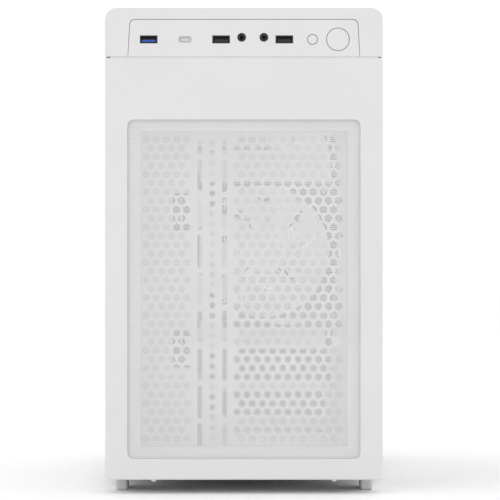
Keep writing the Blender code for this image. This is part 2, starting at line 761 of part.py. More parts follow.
def feet():
    places = {
        "foot_front_left": (-1, -1),
        "foot_front_right": (1, -1),
        "foot_rear_left": (-1, 1),
        "foot_rear_right": (1, 1),
    }
    for name, (side, end) in places.items():
        near = HALF - FOOT_INSET
        x = sorted((side * near, side * (near - FOOT_WIDTH)))
        y_near = DEPTH / 2 - FOOT_END
        y = sorted((end * y_near, end * (y_near - FOOT_LENGTH)))
        foot = keep(block((x[0], y[0], 0.0), (x[1], y[1], PAN_Z - GAP)), name, RUBBER)
        soften(foot, 1.6, segments=2)


def base_pan():
    """The floor of the chassis, folded up at both sides, with the power supply's air intake."""
    low = (-SIDE, PLATE_Y + SHEET + GAP, PAN_Z)
    pan = keep(block(low, (SIDE, REAR_Y - GAP, PAN_Z + PAN_FLANGE)), "base_pan", WHITE_STEEL)
    trough_low = (-SIDE + SHEET, PLATE_Y - WALL, PAN_Z + SHEET)
    trough = block(trough_low, (SIDE - SHEET, REAR_Y + WALL, PAN_Z + PAN_FLANGE + WALL))
    intake = rod((0.0, supply_centre_y(), PAN_Z), "Z", FAN_BORE - INTAKE_RIM, 4 * WALL, sides=40)
    cut(pan, trough, intake)


def supply_centre_y():
    return REAR_Y - GAP - SUPPLY_LENGTH / 2


def front_plate():
    """The steel plate behind the front: two columns of fan slots, holes for the clips, a cable notch."""
    low = (-SIDE, PLATE_Y, PAN_Z)
    high = (SIDE, PLATE_Y + SHEET, PANEL_HIGH - GAP)
    plate = keep(block(low, high), "front_plate", WHITE_STEEL)
    centre = UNDER + PLATE_CENTRE
    y0, y1 = PLATE_Y - WALL, PLATE_Y + WALL
    cutters = []
    for x in SLOT_COLUMNS:
        left, right = x - SLOT_WIDTH / 2, x + SLOT_WIDTH / 2
        for number in range(SLOT_COUNT):
            z = centre + (number - (SLOT_COUNT - 1) / 2) * SLOT_PITCH
            cutters.append(block((left, y0, z - SLOT_LENGTH / 2), (right, y1, z + SLOT_LENGTH / 2)))
    for side in (-1, 1):
        for height in CLIP_HEIGHTS:
            place = (side * (HALF - CLIP_INSET), PLATE_Y, UNDER + height)
            cutters.append(rod(place, "Y", CLIP_RADIUS + HOLE_SLACK, 4 * WALL, sides=12))
    notch = SEAM_Z + WALL
    cutters.append(block((-NOTCH_HALF, y0, notch), (NOTCH_HALF, y1, notch + NOTCH_HEIGHT)))
    cut(plate, *cutters)
    add(plate, roof_tab(PLATE_Y))


def roof_tab(y):
    """A narrower strip that carries a plate up to the roof between the roof's round corners."""
    reach = HALF - BEZEL_RADIUS - 2 * SHEET
    return block((-reach, y, PANEL_HIGH - 3 * SHEET), (reach, y + SHEET, ROOF_Z - SHEET - GAP))


def slot_z(number):
    return SLOT_FIRST + number * SLOT_BRACKET_PITCH


def rear_fan_centre():
    x = SIDE - REAR_FAN_SIDE - FAN_SIZE / 2
    z = BOARD_LOW + BOARD_RISE + FAN_SIZE / 2
    return (x, REAR_Y - GAP - FAN_THICK / 2, z)


def grille_slots(centre_x, centre_z, radius, y):
    """Horizontal slots whose ends follow a circle, each pair apart so that a spine stays between them."""
    cutters = []
    count = int(2 * radius / GRILLE_PITCH)
    for number in range(count):
        z = centre_z + (number - (count - 1) / 2) * GRILLE_PITCH
        reach = math.sqrt(max(radius**2 - (abs(z - centre_z) + GRILLE_SLOT / 2) ** 2, 0.0))
        if reach < GRILLE_SPINE * 2:
            continue
        for side in (-1, 1):
            x = sorted((centre_x + side * GRILLE_SPINE, centre_x + side * reach))
            low = (x[0], y - WALL, z - GRILLE_SLOT / 2)
            cutters.append(block(low, (x[1], y + 2 * WALL, z + GRILLE_SLOT / 2)))
    return cutters


def rear_plate():
    """The back of the chassis: openings for the supply, the port stack, four card slots and the fan."""
    high = (SIDE, REAR_Y + SHEET, PANEL_HIGH - GAP)
    plate = keep(block((-SIDE, REAR_Y, PAN_Z), high), "rear_plate", WHITE_STEEL)
    y0, y1 = REAR_Y - WALL, REAR_Y + 2 * WALL
    edge = SUPPLY_WIDTH / 2 - SUPPLY_EDGE
    supply_high = SUPPLY_LOW + SUPPLY_HEIGHT
    cutters = [
        block((-edge, y0, SUPPLY_LOW + SUPPLY_EDGE), (edge, y1, supply_high - SUPPLY_EDGE)),
        block((BOARD_FACE, y0, IO_LOW), (BOARD_FACE + IO_WIDTH, y1, IO_HIGH)),
    ]
    left, right = BOARD_FACE + SLOT_EDGE, BOARD_FACE + SLOT_REACH - SLOT_EDGE * 2
    for number in range(SLOT_BRACKETS):
        z = slot_z(number)
        cutters.append(block((left, y0, z - SLOT_OPENING / 2), (right, y1, z + SLOT_OPENING / 2)))
    fan_x, _, fan_z = rear_fan_centre()
    cutters += grille_slots(fan_x, fan_z, FAN_BORE - GRILLE_RIM, REAR_Y)
    for side in (-1, 1):
        for height in SCREW_HEIGHTS:
            place = (side * (HALF - SCREW_INSET), REAR_Y, UNDER + height)
            cutters.append(rod(place, "Y", SCREW_RADIUS + HOLE_SLACK, 4 * WALL, sides=12))
    cut(plate, *cutters)
    add(plate, roof_tab(REAR_Y))


def roof_outline(inset):
    side = HALF - ROOF_INSET - inset
    radius = BEZEL_RADIUS - inset
    top = ROOF_Z - inset
    low = PANEL_HIGH + GAP
    right = arc(side - radius, top - radius, radius, 0, 90, 5)
    left = arc(radius - side, top - radius, radius, 90, 180, 5)
    return [(side, low)] + right + left + [(-side, low)]


def roof_plate():
    """The roof folds down over the side panels' top edges; its vent is under the top filter."""
    roof = keep(prism(roof_outline(0.0), PLATE_Y, LIP_REAR), "roof_plate", WHITE_STEEL)
    inner = [(x, z if z > PANEL_HIGH + SHEET else z - WALL) for x, z in roof_outline(SHEET)]
    cutters = [prism(inner, PLATE_Y - WALL, LIP_REAR - SHEET)]
    start, stop = TOP_FILTER_ENDS
    rows = VENT_ROWS
    pitch = (stop - start - 2 * VENT_EDGE) / rows
    for number in range(rows):
        y = start + VENT_EDGE + pitch * (number + 0.5)
        half = pitch * VENT_OPEN / 2
        for side in (-1, 1):
            x = sorted((side * VENT_SPINE, side * (TOP_FILTER_HALF - VENT_EDGE)))
            cutters.append(block((x[0], y - half, ROOF_Z - WALL), (x[1], y + half, ROOF_Z + WALL)))
    cut(roof, *cutters)


def motherboard_tray():
    """The upright sheet that carries the board on raised standoffs, with a cut-out behind the socket."""
    low = (TRAY_X - SHEET, CABLE_BAR_Y + SHEET + GAP, SHROUD_Z + GAP)
    high = (TRAY_X, REAR_Y - GAP, PANEL_HIGH - GAP)
    tray = keep(block(low, high), "motherboard_tray", WHITE_STEEL)
    y, z = BOARD_REAR - SOCKET_BACK, BOARD_LOW + SOCKET_RISE
    x0, x1 = TRAY_X - WALL, TRAY_X + SHEET
    reach = TRAY_WINDOW / 2
    behind = block((x0, y - reach, z - reach), (x1, y + reach, z + reach))
    lower, upper = PASS_THROUGHS[1]
    start, stop = (BOARD_FRONT - ahead for ahead in TRAY_SLOT)
    route = block((x0, start, UNDER + lower), (x1, stop, UNDER + upper))
    cut(tray, behind, route)
    studs = []
    for y in (BOARD_FRONT + STUD_INSET, BOARD_REAR - STUD_INSET):
        for z in (BOARD_LOW + STUD_INSET, (BOARD_LOW + BOARD_HIGH) / 2, BOARD_HIGH - STUD_INSET):
            length = STANDOFF - GAP + SHEET / 2
            centre = (TRAY_X - SHEET / 2 + length / 2, y, z)
            studs.append(rod(centre, "X", STUD_RADIUS, length, sides=8))
    add(tray, *studs)


def cable_bar():
    """The step wall at the front edge of the tray, with two cable pass-throughs."""
    low = (TRAY_X - SHEET, CABLE_BAR_Y, PAN_TOP + GAP)
    high = (TRAY_X + CABLE_BAR_WIDTH, CABLE_BAR_Y + SHEET, PANEL_HIGH - GAP)
    bar = keep(block(low, high), "cable_bar", WHITE_STEEL)
    x = TRAY_X + PASS_INSET
    y0, y1 = CABLE_BAR_Y - WALL, CABLE_BAR_Y + 2 * WALL
    openings = [
        block((x, y0, UNDER + lower), (x + PASS_WIDTH, y1, UNDER + upper)) for lower, upper in PASS_THROUGHS
    ]
    cut(bar, *openings)


def psu_shroud():
    """The cover over the supply and drives: a deck and a wall on the glass side, with a cable opening."""
    start = CABLE_BAR_Y + SHROUD_SETBACK
    side = HALF - SCREW_INSET - SCREW_RADIUS - SHEET
    low = (TRAY_X, start, PAN_TOP + GAP)
    deck = keep(block(low, (side, REAR_Y - GAP, SHROUD_Z)), "psu_shroud", WHITE_STEEL)
    inside_low = (TRAY_X - WALL, start - WALL, PAN_Z - WALL)
    inside = block(inside_low, (side - SHEET, REAR_Y + WALL, SHROUD_Z - SHEET))
    x, y = SHROUD_HOLE
    wide, long = (value / 2 for value in SHROUD_HOLE_SIZE)
    cable_way = block((x - wide, y - long, SHROUD_Z - WALL), (x + wide, y + long, SHROUD_Z + WALL))
    cut(deck, inside, cable_way)


def steel_side_panel():
    """The panel on the cable side: a shallow tray whose rear lip takes two captive thumbscrews."""
    inner = -HALF + PANEL_SPACE - GAP
    low = (-HALF, PLATE_Y, PANEL_LOW)
    panel = keep(block(low, (inner, LIP_REAR, PANEL_HIGH)), "steel_side_panel", WHITE_STEEL)
    trough_low = [value + SHEET for value in low]
    cut(panel, block(trough_low, (inner + WALL, LIP_REAR - SHEET, PANEL_HIGH - SHEET)))
    lip_low = (-HALF + SHEET / 2, PANEL_REAR, PANEL_LOW)
    add(panel, block(lip_low, (-HALF + SCREW_INSET + LIP_WIDTH, LIP_REAR, PANEL_HIGH)))
    drill_lip(panel, -1)


def drill_lip(panel, side):
    x = side * (HALF - SCREW_INSET)
    radius = SCREW_RADIUS + HOLE_SLACK
    places = [(x, PANEL_REAR, UNDER + height) for height in SCREW_HEIGHTS]
    cut(panel, *(rod(place, "Y", radius, 4 * WALL, sides=12) for place in places))


def glass_side_panel():
    """The glass pane on its steel frame, whose rear lip takes the other two thumbscrews."""
    outer = HALF - GLASS - GAP
    inner = SIDE + GAP
    low = (inner, PLATE_Y, PANEL_LOW)
    frame = keep(block(low, (outer, LIP_REAR, PANEL_HIGH)), "glass_frame", WHITE_STEEL)
    edge = FRAME_BORDER
    window_low = (inner - WALL, PLATE_Y + edge, PANEL_LOW + edge)
    cut(frame, block(window_low, (outer + WALL, REAR_Y - edge, PANEL_HIGH - edge)))
    lip = block((HALF - SCREW_INSET - LIP_WIDTH, PANEL_REAR, PANEL_LOW), (outer, LIP_REAR, PANEL_HIGH))
    add(frame, lip)
    drill_lip(frame, 1)
    low = (HALF - GLASS, PLATE_Y, PANEL_LOW)
    pane = keep(block(low, (HALF, LIP_REAR, PANEL_HIGH)), "glass_pane", GLASS_CLEAR)
    soften(pane, 0.8)


def thumbscrews():
    for side, word in ((-1, "steel"), (1, "glass")):
        for height, place in zip(SCREW_HEIGHTS, ("lower", "upper")):
            x, z = side * (HALF - SCREW_INSET), UNDER + height
            start = LIP_REAR + GAP
            length = BACK - start
            knob = rod((x, start + length / 2, z), "Y", SCREW_HEAD_RADIUS, length, sides=20)
            head = keep(knob, f"thumbscrew_{word}_{place}", BARE_METAL)
            soften(head, 0.6)
            shank = SCREW_SHANK + SHEET
            add(head, rod((x, start + SHEET - shank / 2, z), "Y", SCREW_RADIUS, shank, sides=12))


def filters():
    start, stop = TOP_FILTER_ENDS
    low = ROOF_Z + GAP
    top_high = (TOP_FILTER_HALF, stop, low + TOP_FILTER_THICK)
    keep(block((-TOP_FILTER_HALF, start, low), top_high), "top_filter", BLACK_PLASTIC)
    high = PAN_Z - GAP
    rear = REAR_Y + SHEET
    bottom_low = (-BOTTOM_FILTER_HALF, rear - BOTTOM_FILTER_LENGTH, high - BOTTOM_FILTER_THICK)
    keep(block(bottom_low, (BOTTOM_FILTER_HALF, rear, high)), "bottom_filter", BLACK_PLASTIC)


def motherboard():
    """The board with its socket, memory slots, card slots and headers standing on its face."""
    low = (BOARD_X, BOARD_FRONT, BOARD_LOW)
    board = keep(block(low, (BOARD_FACE, BOARD_REAR, BOARD_HIGH)), "motherboard", BOARD_PAINT)
    face = BOARD_FACE - BOARD_THICK / 2
    y, z = BOARD_REAR - SOCKET_BACK, BOARD_LOW + SOCKET_RISE
    reach = SOCKET_SIDE / 2
    pieces = [block((face, y - reach, z - reach), (BOARD_FACE + SOCKET_RAISE, y + reach, z + reach))]
    half = MEMORY_THICK / 2
    slot_low, slot_high = memory_low() - LATCH, memory_low() + MEMORY_LENGTH + LATCH
    for y in memory_places():
        pieces.append(block((face, y - half, slot_low), (BOARD_FACE + MEMORY_SEAT, y + half, slot_high)))
    front, rear = (BOARD_REAR - back for back in CARD_SLOT_ENDS)
    half = CARD_SLOT_WIDTH / 2
    for number in (0, 2):
        z = slot_z(number) - CARD_DROP + CARD_BOARD / 2
        pieces.append(block((face, front, z - half), (BOARD_FACE + CARD_SOCKET, rear, z + half)))
    low = BOARD_LOW + HEADER_RISE
    front, rear = BOARD_FRONT + HEADER_EDGE, BOARD_FRONT + HEADER_EDGE + HEADER_WIDTH
    pieces.append(block((face, front, low), (BOARD_FACE + HEADER_RAISE, rear, low + HEADER_LENGTH)))
    add(board, *pieces)


def memory_places():
    first = BOARD_REAR - SOCKET_BACK - FIN_DEPTH / 2 - GAP - FAN_THICK - MEMORY_SETBACK
    return (first, first - MEMORY_PITCH)


def memory_low():
    return BOARD_LOW + MEMORY_RISE


def memory_modules():
    for number, y in enumerate(memory_places(), 1):
        low = (BOARD_FACE + MEMORY_SEAT + GAP, y - MEMORY_THICK / 2, memory_low())
        high = (low[0] + MEMORY_HEIGHT, y + MEMORY_THICK / 2, memory_low() + MEMORY_LENGTH)
        module = keep(block(low, high), f"memory_module_{number}", WHITE_STEEL)
        soften(module, 1.0)


def rear_ports():
    """The stack of ports at the board's rear edge and the shield that fills the rear opening."""
    low = (BOARD_FACE + GAP, REAR_Y, IO_LOW + GAP)
    high = (BOARD_FACE + IO_WIDTH - GAP, REAR_Y + SHEET, IO_HIGH - GAP)
    shield = keep(block(low, high), "rear_ports", BARE_METAL)
    stack_low = (BOARD_FACE + GAP, BOARD_REAR - IO_DEPTH, IO_LOW + IO_MARGIN)
    add(shield, block(stack_low, (BOARD_FACE + IO_STACK, REAR_Y + SHEET / 2, IO_HIGH - IO_MARGIN)))
    cutters = []
    for rise, tall, across, wide in IO_CUTS:
        z, x = IO_LOW + rise, BOARD_FACE + across
        cutters.append(block((x, REAR_Y - IO_DEPTH / 2, z), (x + wide, REAR_Y + WALL, z + tall)))
    cut(shield, *cutters)


def cooler():
    """The tower cooler: a base on the processor, pipes, and a fin stack with its fan in front."""
    y, z = BOARD_REAR - SOCKET_BACK, BOARD_LOW + SOCKET_RISE
    top = SIDE - COOLER_CLEAR
    half = FAN_SIZE / 2
    low = (top - FIN_LENGTH, y - FIN_DEPTH / 2, z - half)
    fins = keep(block(low, (top, y + FIN_DEPTH / 2, z + half)), "cooler_heatsink", BARE_METAL)
    base_low = BOARD_FACE + SOCKET_RAISE + GAP
    wide, tall = (value / 2 for value in COOLER_BASE)
    base = block((base_low, y - wide, z - tall), (base_low + COOLER_BASE_THICK, y + wide, z + tall))
    start, end = base_low + COOLER_BASE_THICK / 2, top - FIN_LENGTH + SHEET
    pipes = [
        rod(((start + end) / 2, y + across, z + up), "X", COOLER_PIPE, end - start, sides=10)
        for across in (-PIPE_PLACE[0], PIPE_PLACE[0])
        for up in (-PIPE_PLACE[1], PIPE_PLACE[1])
    ]
    add(fins, base, *pipes)
    centre = (top - half, y - FIN_DEPTH / 2 - GAP - FAN_THICK / 2, z)
    fan_pair("cooler_fan", centre, "Y", -1)


def fan_pair(name, centre, axis, facing):
    """A frame and the rotor that turns in it, a little off the motor seat."""
    paint = BLACK_PLASTIC
    fan_frame(f"{name}_frame", centre, axis, facing, FAN_SIZE, FAN_THICK, FAN_BORE, paint)
    turn = "XYZ".index(axis)
    middle = list(centre)
    middle[turn] += facing * (STRUT - 2 * GAP) / 2
    depth = FAN_THICK - STRUT - 5 * GAP
    fan_rotor(f"{name}_rotor", middle, axis, FAN_BORE - BLADE_TIP_GAP, HUB_RADIUS, depth, WHITE_PLASTIC)


def bracket(name, first, last, paint):
    """A card bracket or slot cover behind the rear plate, its screw tab folded forward."""
    low = (BOARD_FACE + SLOT_EDGE / 2, REAR_Y - GAP - SHEET, slot_z(first) - BRACKET_HALF)
    high = (BOARD_FACE + SLOT_REACH, REAR_Y - GAP, slot_z(last) + BRACKET_HALF)
    plate = keep(block(low, high), name, paint)
    tab = block((high[0] - SHEET, low[1] - BRACKET_TAB, low[2]), high)
    add(plate, tab)
    return plate


def graphics_card():
    """The card lies level with its fans up: board and bracket, heatsink, shroud and two rotors."""
    z = slot_z(0) - CARD_DROP
    low_x = BOARD_FACE + CARD_SOCKET + GAP
    high_x = low_x + CARD_WIDTH
    rear = REAR_Y - GAP - SHEET
    front = rear - CARD_LENGTH
    card = bracket("graphics_card", 0, 1, BARE_METAL)
    board = block((low_x, front, z), (high_x, rear + SHEET / 2, z + CARD_BOARD))
    plug_front, plug_rear = (front + along for along in CARD_PLUG_ENDS)
    plug_low = (high_x - CARD_PLUG_DEPTH, plug_front, z + CARD_BOARD / 2)
    add(card, board, block(plug_low, (high_x, plug_rear, z + CARD_BOARD + CARD_PLUG)))
    sink_low = z + CARD_BOARD + GAP
    low = (low_x + CARD_EDGE * 2, front + SINK_INSETS[0], sink_low)
    high = (high_x - CARD_EDGE * 3, rear - SINK_INSETS[1], sink_low + CARD_SINK)
    sink = keep(block(low, high), "card_heatsink", BARE_METAL)
    shroud_low = sink_low + CARD_SINK + GAP
    low = (low_x + CARD_EDGE, front + CARD_EDGE * 2, shroud_low)
    high = (high_x, rear - CARD_EDGE * 3, shroud_low + CARD_SHROUD)
    shroud = keep(block(low, high), "card_shroud", BLACK_PLASTIC)
    soften(shroud, 2.0)
    middle = (low_x + high_x) / 2
    stub_top = shroud_low + STUB_RISE
    depth = CARD_SHROUD - STUB_RISE - 3 * GAP
    wells = []
    stubs = []
    for number, place in enumerate(CARD_FAN_PLACES, 1):
        y = rear - place
        radius = CARD_FAN_RADIUS + WELL_SLACK
        wells.append(rod((middle, y, shroud_low + CARD_SHROUD / 2), "Z", radius, 3 * CARD_SHROUD, sides=36))
        stubs.append(rod((middle, y, stub_top - STUB_LENGTH / 2), "Z", STUB_RADIUS, STUB_LENGTH, sides=16))
        centre = (middle, y, stub_top + GAP + depth / 2)
        fan_rotor(f"card_fan_{number}", centre, "Z", CARD_FAN_RADIUS, CARD_HUB, depth, BLACK_PLASTIC)
    cut(shroud, *wells)
    add(sink, *stubs)


def slot_covers():
    for number in range(2, SLOT_BRACKETS):
        bracket(f"slot_cover_{number - 1}", number, number, WHITE_STEEL)


def power_supply():
    """A steel case, open below at its fan and behind at its vent, with the inlet module and its rocker."""
    rear = REAR_Y - GAP
    half = SUPPLY_WIDTH / 2
    low = (-half, rear - SUPPLY_LENGTH, SUPPLY_LOW)
    high = (half, rear, SUPPLY_LOW + SUPPLY_HEIGHT)
    case = keep(block(low, high), "power_supply", BLACK_STEEL)
    inside = block([v + SUPPLY_WALL for v in low], [v - SUPPLY_WALL for v in high])
    middle = (0.0, supply_centre_y(), SUPPLY_LOW)
    inlet_z = SUPPLY_LOW + INLET_RISE
    y0, y1 = rear - WALL, rear + WALL
    inlet_right, inlet_high = INLET_LEFT + INLET_SIZE[0], inlet_z + INLET_SIZE[1]
    inlet_way = block((INLET_LEFT - GAP, y0, inlet_z - GAP), (inlet_right + GAP, y1, inlet_high + GAP))
    cutters = [inside, rod(middle, "Z", FAN_BORE - INTAKE_RIM, 4 * WALL, sides=40), inlet_way]
    for number in range(VENT_COLUMNS):
        x = -half + VENT_SIDE + number * (SUPPLY_WIDTH - 2 * VENT_SIDE - VENT_WIDTH) / (VENT_COLUMNS - 1)
        cutters.append(block((x, y0, SUPPLY_LOW + VENT_RISE), (x + VENT_WIDTH, y1, inlet_z - VENT_RISE / 2)))
    cut(case, *cutters)
    fan_centre = (0.0, supply_centre_y(), SUPPLY_LOW + SUPPLY_WALL + GAP + FAN_THICK / 2)
    fan_pair("supply_fan", fan_centre, "Z", -1)
    inlet_module(inlet_z)


def inlet_module(z):
    """The three-pin inlet and, beside it in the same body, the well of the rocker switch."""
    wide, tall = INLET_SIZE
    face = REAR_Y + INLET_FLANGE
    low = (INLET_LEFT, face - INLET_DEPTH, z)
    body = keep(block(low, (INLET_LEFT + wide, face, z + tall)), "power_inlet", BLACK_PLASTIC)
    edge = INLET_FLANGE_EDGE
    flange_low = (INLET_LEFT - edge, REAR_Y, z - edge)
    add(body, block(flange_low, (INLET_LEFT + wide + edge, face, z + tall + edge)))
    x, z_low = INLET_LEFT + INLET_MARGIN, z + INLET_MARGIN
    past = face + WALL
    cavity_low = (x, face - INLET_DEPTH + WALL, z_low)
    cavity = block(cavity_low, (x + INLET_CAVITY[0], past, z_low + INLET_CAVITY[1]))
    rocker_x = INLET_LEFT + wide - INLET_MARGIN - ROCKER_SIZE[0] / 2 - ROCKER_SLACK
    rocker_z = z + tall / 2
    reach_x = ROCKER_SIZE[0] / 2 + GAP
    reach_z = ROCKER_SIZE[2] / 2 + ROCKER_SLACK
    well_low = (rocker_x - reach_x, face - ROCKER_DEEP, rocker_z - reach_z)
    cut(body, cavity, block(well_low, (rocker_x + reach_x, past, rocker_z + reach_z)))
    pins = []
    for across, up in PIN_PLACES:
        pin_x, pin_z = x + across, z_low + up
        pin_low = (pin_x - PIN_HALF[0], face - INLET_DEPTH + SHEET, pin_z - PIN_HALF[1])
        pins.append(block(pin_low, (pin_x + PIN_HALF[0], face - PIN_SETBACK, pin_z + PIN_HALF[1])))
    add(body, *pins)
    pivot_y = face - ROCKER_SIZE[1] / 2 + ROCKER_PROUD
    half_x, half_y, half_z = (value / 2 for value in ROCKER_SIZE)
    rocker = keep(block((-half_x, -half_y, -half_z), (half_x, half_y, half_z)), "power_rocker", BLACK_PLASTIC)
    rocker.location = Vector((rocker_x, pivot_y, rocker_z)) * MM
    rocker.rotation_euler = (-ROCKER_TILT, 0.0, 0.0)


def drives():
    """The two-bay cage in front of the supply, with one hard drive in its lower bay."""
    rear = REAR_Y - GAP - SUPPLY_LENGTH - SHEET
    half = DRIVE_WIDTH / 2 + SHEET + 2 * GAP
    low_z = PAN_TOP + GAP
    front = rear - CAGE_LENGTH
    left, right = CAGE_CENTRE - half, CAGE_CENTRE + half
    top = low_z + 2 * BAY_PITCH + SHEET
    cage = keep(block((left, front, low_z), (right, rear, top)), "drive_cage", WHITE_STEEL)
    bays = []
    for number in range(2):
        bay_low = (left + SHEET, front - WALL, low_z + SHEET + number * BAY_PITCH)
        bays.append(block(bay_low, (right - SHEET, rear + WALL, low_z + (number + 1) * BAY_PITCH)))
    cut(cage, *bays)
    floor = low_z + SHEET + GAP
    reach = DRIVE_WIDTH / 2
    drive_low = (CAGE_CENTRE - reach, rear - GAP - DRIVE_LENGTH, floor)
    drive_high = (CAGE_CENTRE + reach, rear - GAP, floor + DRIVE_HEIGHT)
    drive = keep(block(drive_low, drive_high), "hard_drive", BARE_METAL)
    soften(drive, 0.8)


def cables():
    """The captive cables, each from socket to socket along its route."""
    cable("board_power_cable", BOARD_POWER_ROUTE, BOARD_POWER_RADIUS, BLACK_PLASTIC)
    cable("card_power_cable", CARD_POWER_ROUTE, CARD_POWER_RADIUS, BLACK_PLASTIC)
    cable("front_panel_cable", FRONT_PANEL_ROUTE, FRONT_PANEL_RADIUS, BLACK_PLASTIC)


front_shell()
front_mesh_and_filter()
top_bezel()
port_panel()
ports()
port_board()
buttons()
feet()
base_pan()
front_plate()
rear_plate()
roof_plate()
motherboard_tray()
cable_bar()
psu_shroud()
steel_side_panel()
glass_side_panel()
thumbscrews()
filters()
motherboard()
memory_modules()
rear_ports()
cooler()
fan_pair("rear_fan", rear_fan_centre(), "Y", -1)
graphics_card()
slot_covers()
power_supply()
drives()
cables()
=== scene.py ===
"""The looks of the desktop computer tower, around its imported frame.

The mesh helpers take millimetres, as the names of their sizes do; the stage is in metres. The front
faces -Y, the glass side +X.
"""

import json
import math

import bmesh
import bpy
from mathutils import Matrix, Vector


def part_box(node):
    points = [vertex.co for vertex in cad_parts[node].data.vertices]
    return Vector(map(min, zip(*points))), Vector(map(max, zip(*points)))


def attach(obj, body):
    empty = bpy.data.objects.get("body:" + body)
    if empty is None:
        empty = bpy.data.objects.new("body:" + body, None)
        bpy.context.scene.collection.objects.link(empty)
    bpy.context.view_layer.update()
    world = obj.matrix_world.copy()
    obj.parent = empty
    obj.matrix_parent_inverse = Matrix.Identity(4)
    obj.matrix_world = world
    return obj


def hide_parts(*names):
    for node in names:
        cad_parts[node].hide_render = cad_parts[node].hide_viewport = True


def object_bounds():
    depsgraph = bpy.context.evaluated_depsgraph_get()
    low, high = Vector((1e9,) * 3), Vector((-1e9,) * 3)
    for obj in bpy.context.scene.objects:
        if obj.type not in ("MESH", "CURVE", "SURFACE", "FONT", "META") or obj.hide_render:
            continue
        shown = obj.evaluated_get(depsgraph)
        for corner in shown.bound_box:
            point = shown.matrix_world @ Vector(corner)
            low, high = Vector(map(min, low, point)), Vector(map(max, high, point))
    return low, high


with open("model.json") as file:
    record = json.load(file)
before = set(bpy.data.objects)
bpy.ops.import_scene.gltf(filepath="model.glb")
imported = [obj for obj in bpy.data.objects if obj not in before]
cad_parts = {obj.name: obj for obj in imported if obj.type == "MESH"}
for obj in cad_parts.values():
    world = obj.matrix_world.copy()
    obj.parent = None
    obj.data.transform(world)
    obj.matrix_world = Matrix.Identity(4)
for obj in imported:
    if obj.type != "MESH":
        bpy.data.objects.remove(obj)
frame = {"nodes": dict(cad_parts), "record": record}
CAD_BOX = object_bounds()
NODES = frame["nodes"]
MM = 0.001


# ---------------------------------------------------------------- node materials

class Shade:
    """A Principled material with a few short ways to add procedural detail."""

    def __init__(self, name, colour, roughness, metallic=0.0, **sockets):
        self.data = bpy.data.materials.new(name)
        self.data.use_nodes = True
        self.tree = self.data.node_tree
        self.shader = self.tree.nodes["Principled BSDF"]
        self.shader.inputs["Base Color"].default_value = (*colour, 1.0)
        self.shader.inputs["Roughness"].default_value = roughness
        self.shader.inputs["Metallic"].default_value = metallic
        for socket, value in sockets.items():
            self.shader.inputs[socket.replace("_", " ")].default_value = value
        self.colour = colour
        self.roughness = roughness
        self.place = self.node("ShaderNodeTexCoord").outputs["Object"]
        self.height = None

    def node(self, kind, **settings):
        made = self.tree.nodes.new(kind)
        for key, value in settings.items():
            setattr(made, key, value)
        return made

    def link(self, output, target):
        self.tree.links.new(output, target)

    def noise(self, size, detail=3.0, stretch=(1.0, 1.0, 1.0)):
        """Noise whose features are about this size in metres, drawn out along an axis by stretch."""
        scaling = self.node("ShaderNodeMapping")
        scaling.inputs["Scale"].default_value = stretch
        texture = self.node("ShaderNodeTexNoise")
        texture.inputs["Scale"].default_value = 1.0 / size
        texture.inputs["Detail"].default_value = detail
        self.link(self.place, scaling.inputs["Vector"])
        self.link(scaling.outputs["Vector"], texture.inputs["Vector"])
        return texture.outputs["Fac"]

    def spread(self, value, low, high):
        """A factor between 0 and 1 moved to the range low to high."""
        scaled = self.node("ShaderNodeMapRange")
        scaled.inputs["From Min"].default_value = 0.3
        scaled.inputs["From Max"].default_value = 0.7
        scaled.inputs["To Min"].default_value = low
        scaled.inputs["To Max"].default_value = high
        self.link(value, scaled.inputs["Value"])
        return scaled.outputs["Result"]

    def vary_colour(self, value, amount):
        """Makes the base colour lighter and darker by amount with a factor."""
        mix = self.node("ShaderNodeMix", data_type="RGBA")
        dark = [channel * (1 - amount) for channel in self.colour]
        light = [min(channel * (1 + amount), 1.0) for channel in self.colour]
        mix.inputs["A"].default_value = (*dark, 1.0)
        mix.inputs["B"].default_value = (*light, 1.0)
        self.link(self.spread(value, 0.0, 1.0), mix.inputs["Factor"])
        self.link(mix.outputs["Result"], self.shader.inputs["Base Color"])
        return self

    def vary_roughness(self, value, amount):
        spread = self.spread(value, self.roughness - amount, self.roughness + amount)
        self.link(spread, self.shader.inputs["Roughness"])
        return self

    def bump(self, value, depth, strength=1.0):
        """Adds a height to the surface, over any bump that is already there."""
        made = self.node("ShaderNodeBump")
        made.inputs["Distance"].default_value = depth
        made.inputs["Strength"].default_value = strength
        self.link(value, made.inputs["Height"])
        if self.height is not None:
            self.link(self.height, made.inputs["Normal"])
        self.height = made.outputs["Normal"]
        self.link(self.height, self.shader.inputs["Normal"])
        return self

    def waves(self, size, direction="X"):
        """Even bands this far apart, for braid and copper tracks."""
        texture = self.node("ShaderNodeTexWave", bands_direction=direction)
        texture.inputs["Scale"].default_value = 0.314 / size
        self.link(self.place, texture.inputs["Vector"])
        return texture.outputs["Fac"]


def moulded(name, colour, roughness, grain=0.0004, depth=0.00002):
    """Moulded plastic: fine spark texture, slow colour drift, slightly uneven gloss."""
    made = Shade(name, colour, roughness)
    made.vary_colour(made.noise(0.03), 0.012)
    made.vary_roughness(made.noise(0.004, 4.0), 0.04)
    made.bump(made.noise(grain, 2.0), depth, 0.5)
    return made.data


def powder_coat(name, colour, roughness=0.42):
    """Powder-coated steel: a soft orange peel and a little colour drift."""
    made = Shade(name, colour, roughness)
    made.vary_colour(made.noise(0.05), 0.015)
    made.vary_roughness(made.noise(0.002, 3.0), 0.05)
    made.bump(made.noise(0.0011, 2.0), 0.00003, 0.6)
    return made.data


def brushed(name, colour, roughness, stretch=(1.0, 40.0, 1.0)):
    """Bare metal with fine lines drawn out along one axis."""
    made = Shade(name, colour, roughness, 1.0)
    lines = made.noise(0.02, 6.0, stretch)
    made.vary_colour(lines, 0.05)
    made.vary_roughness(lines, 0.06)
    made.bump(lines, 0.00001, 0.4)
    return made.data


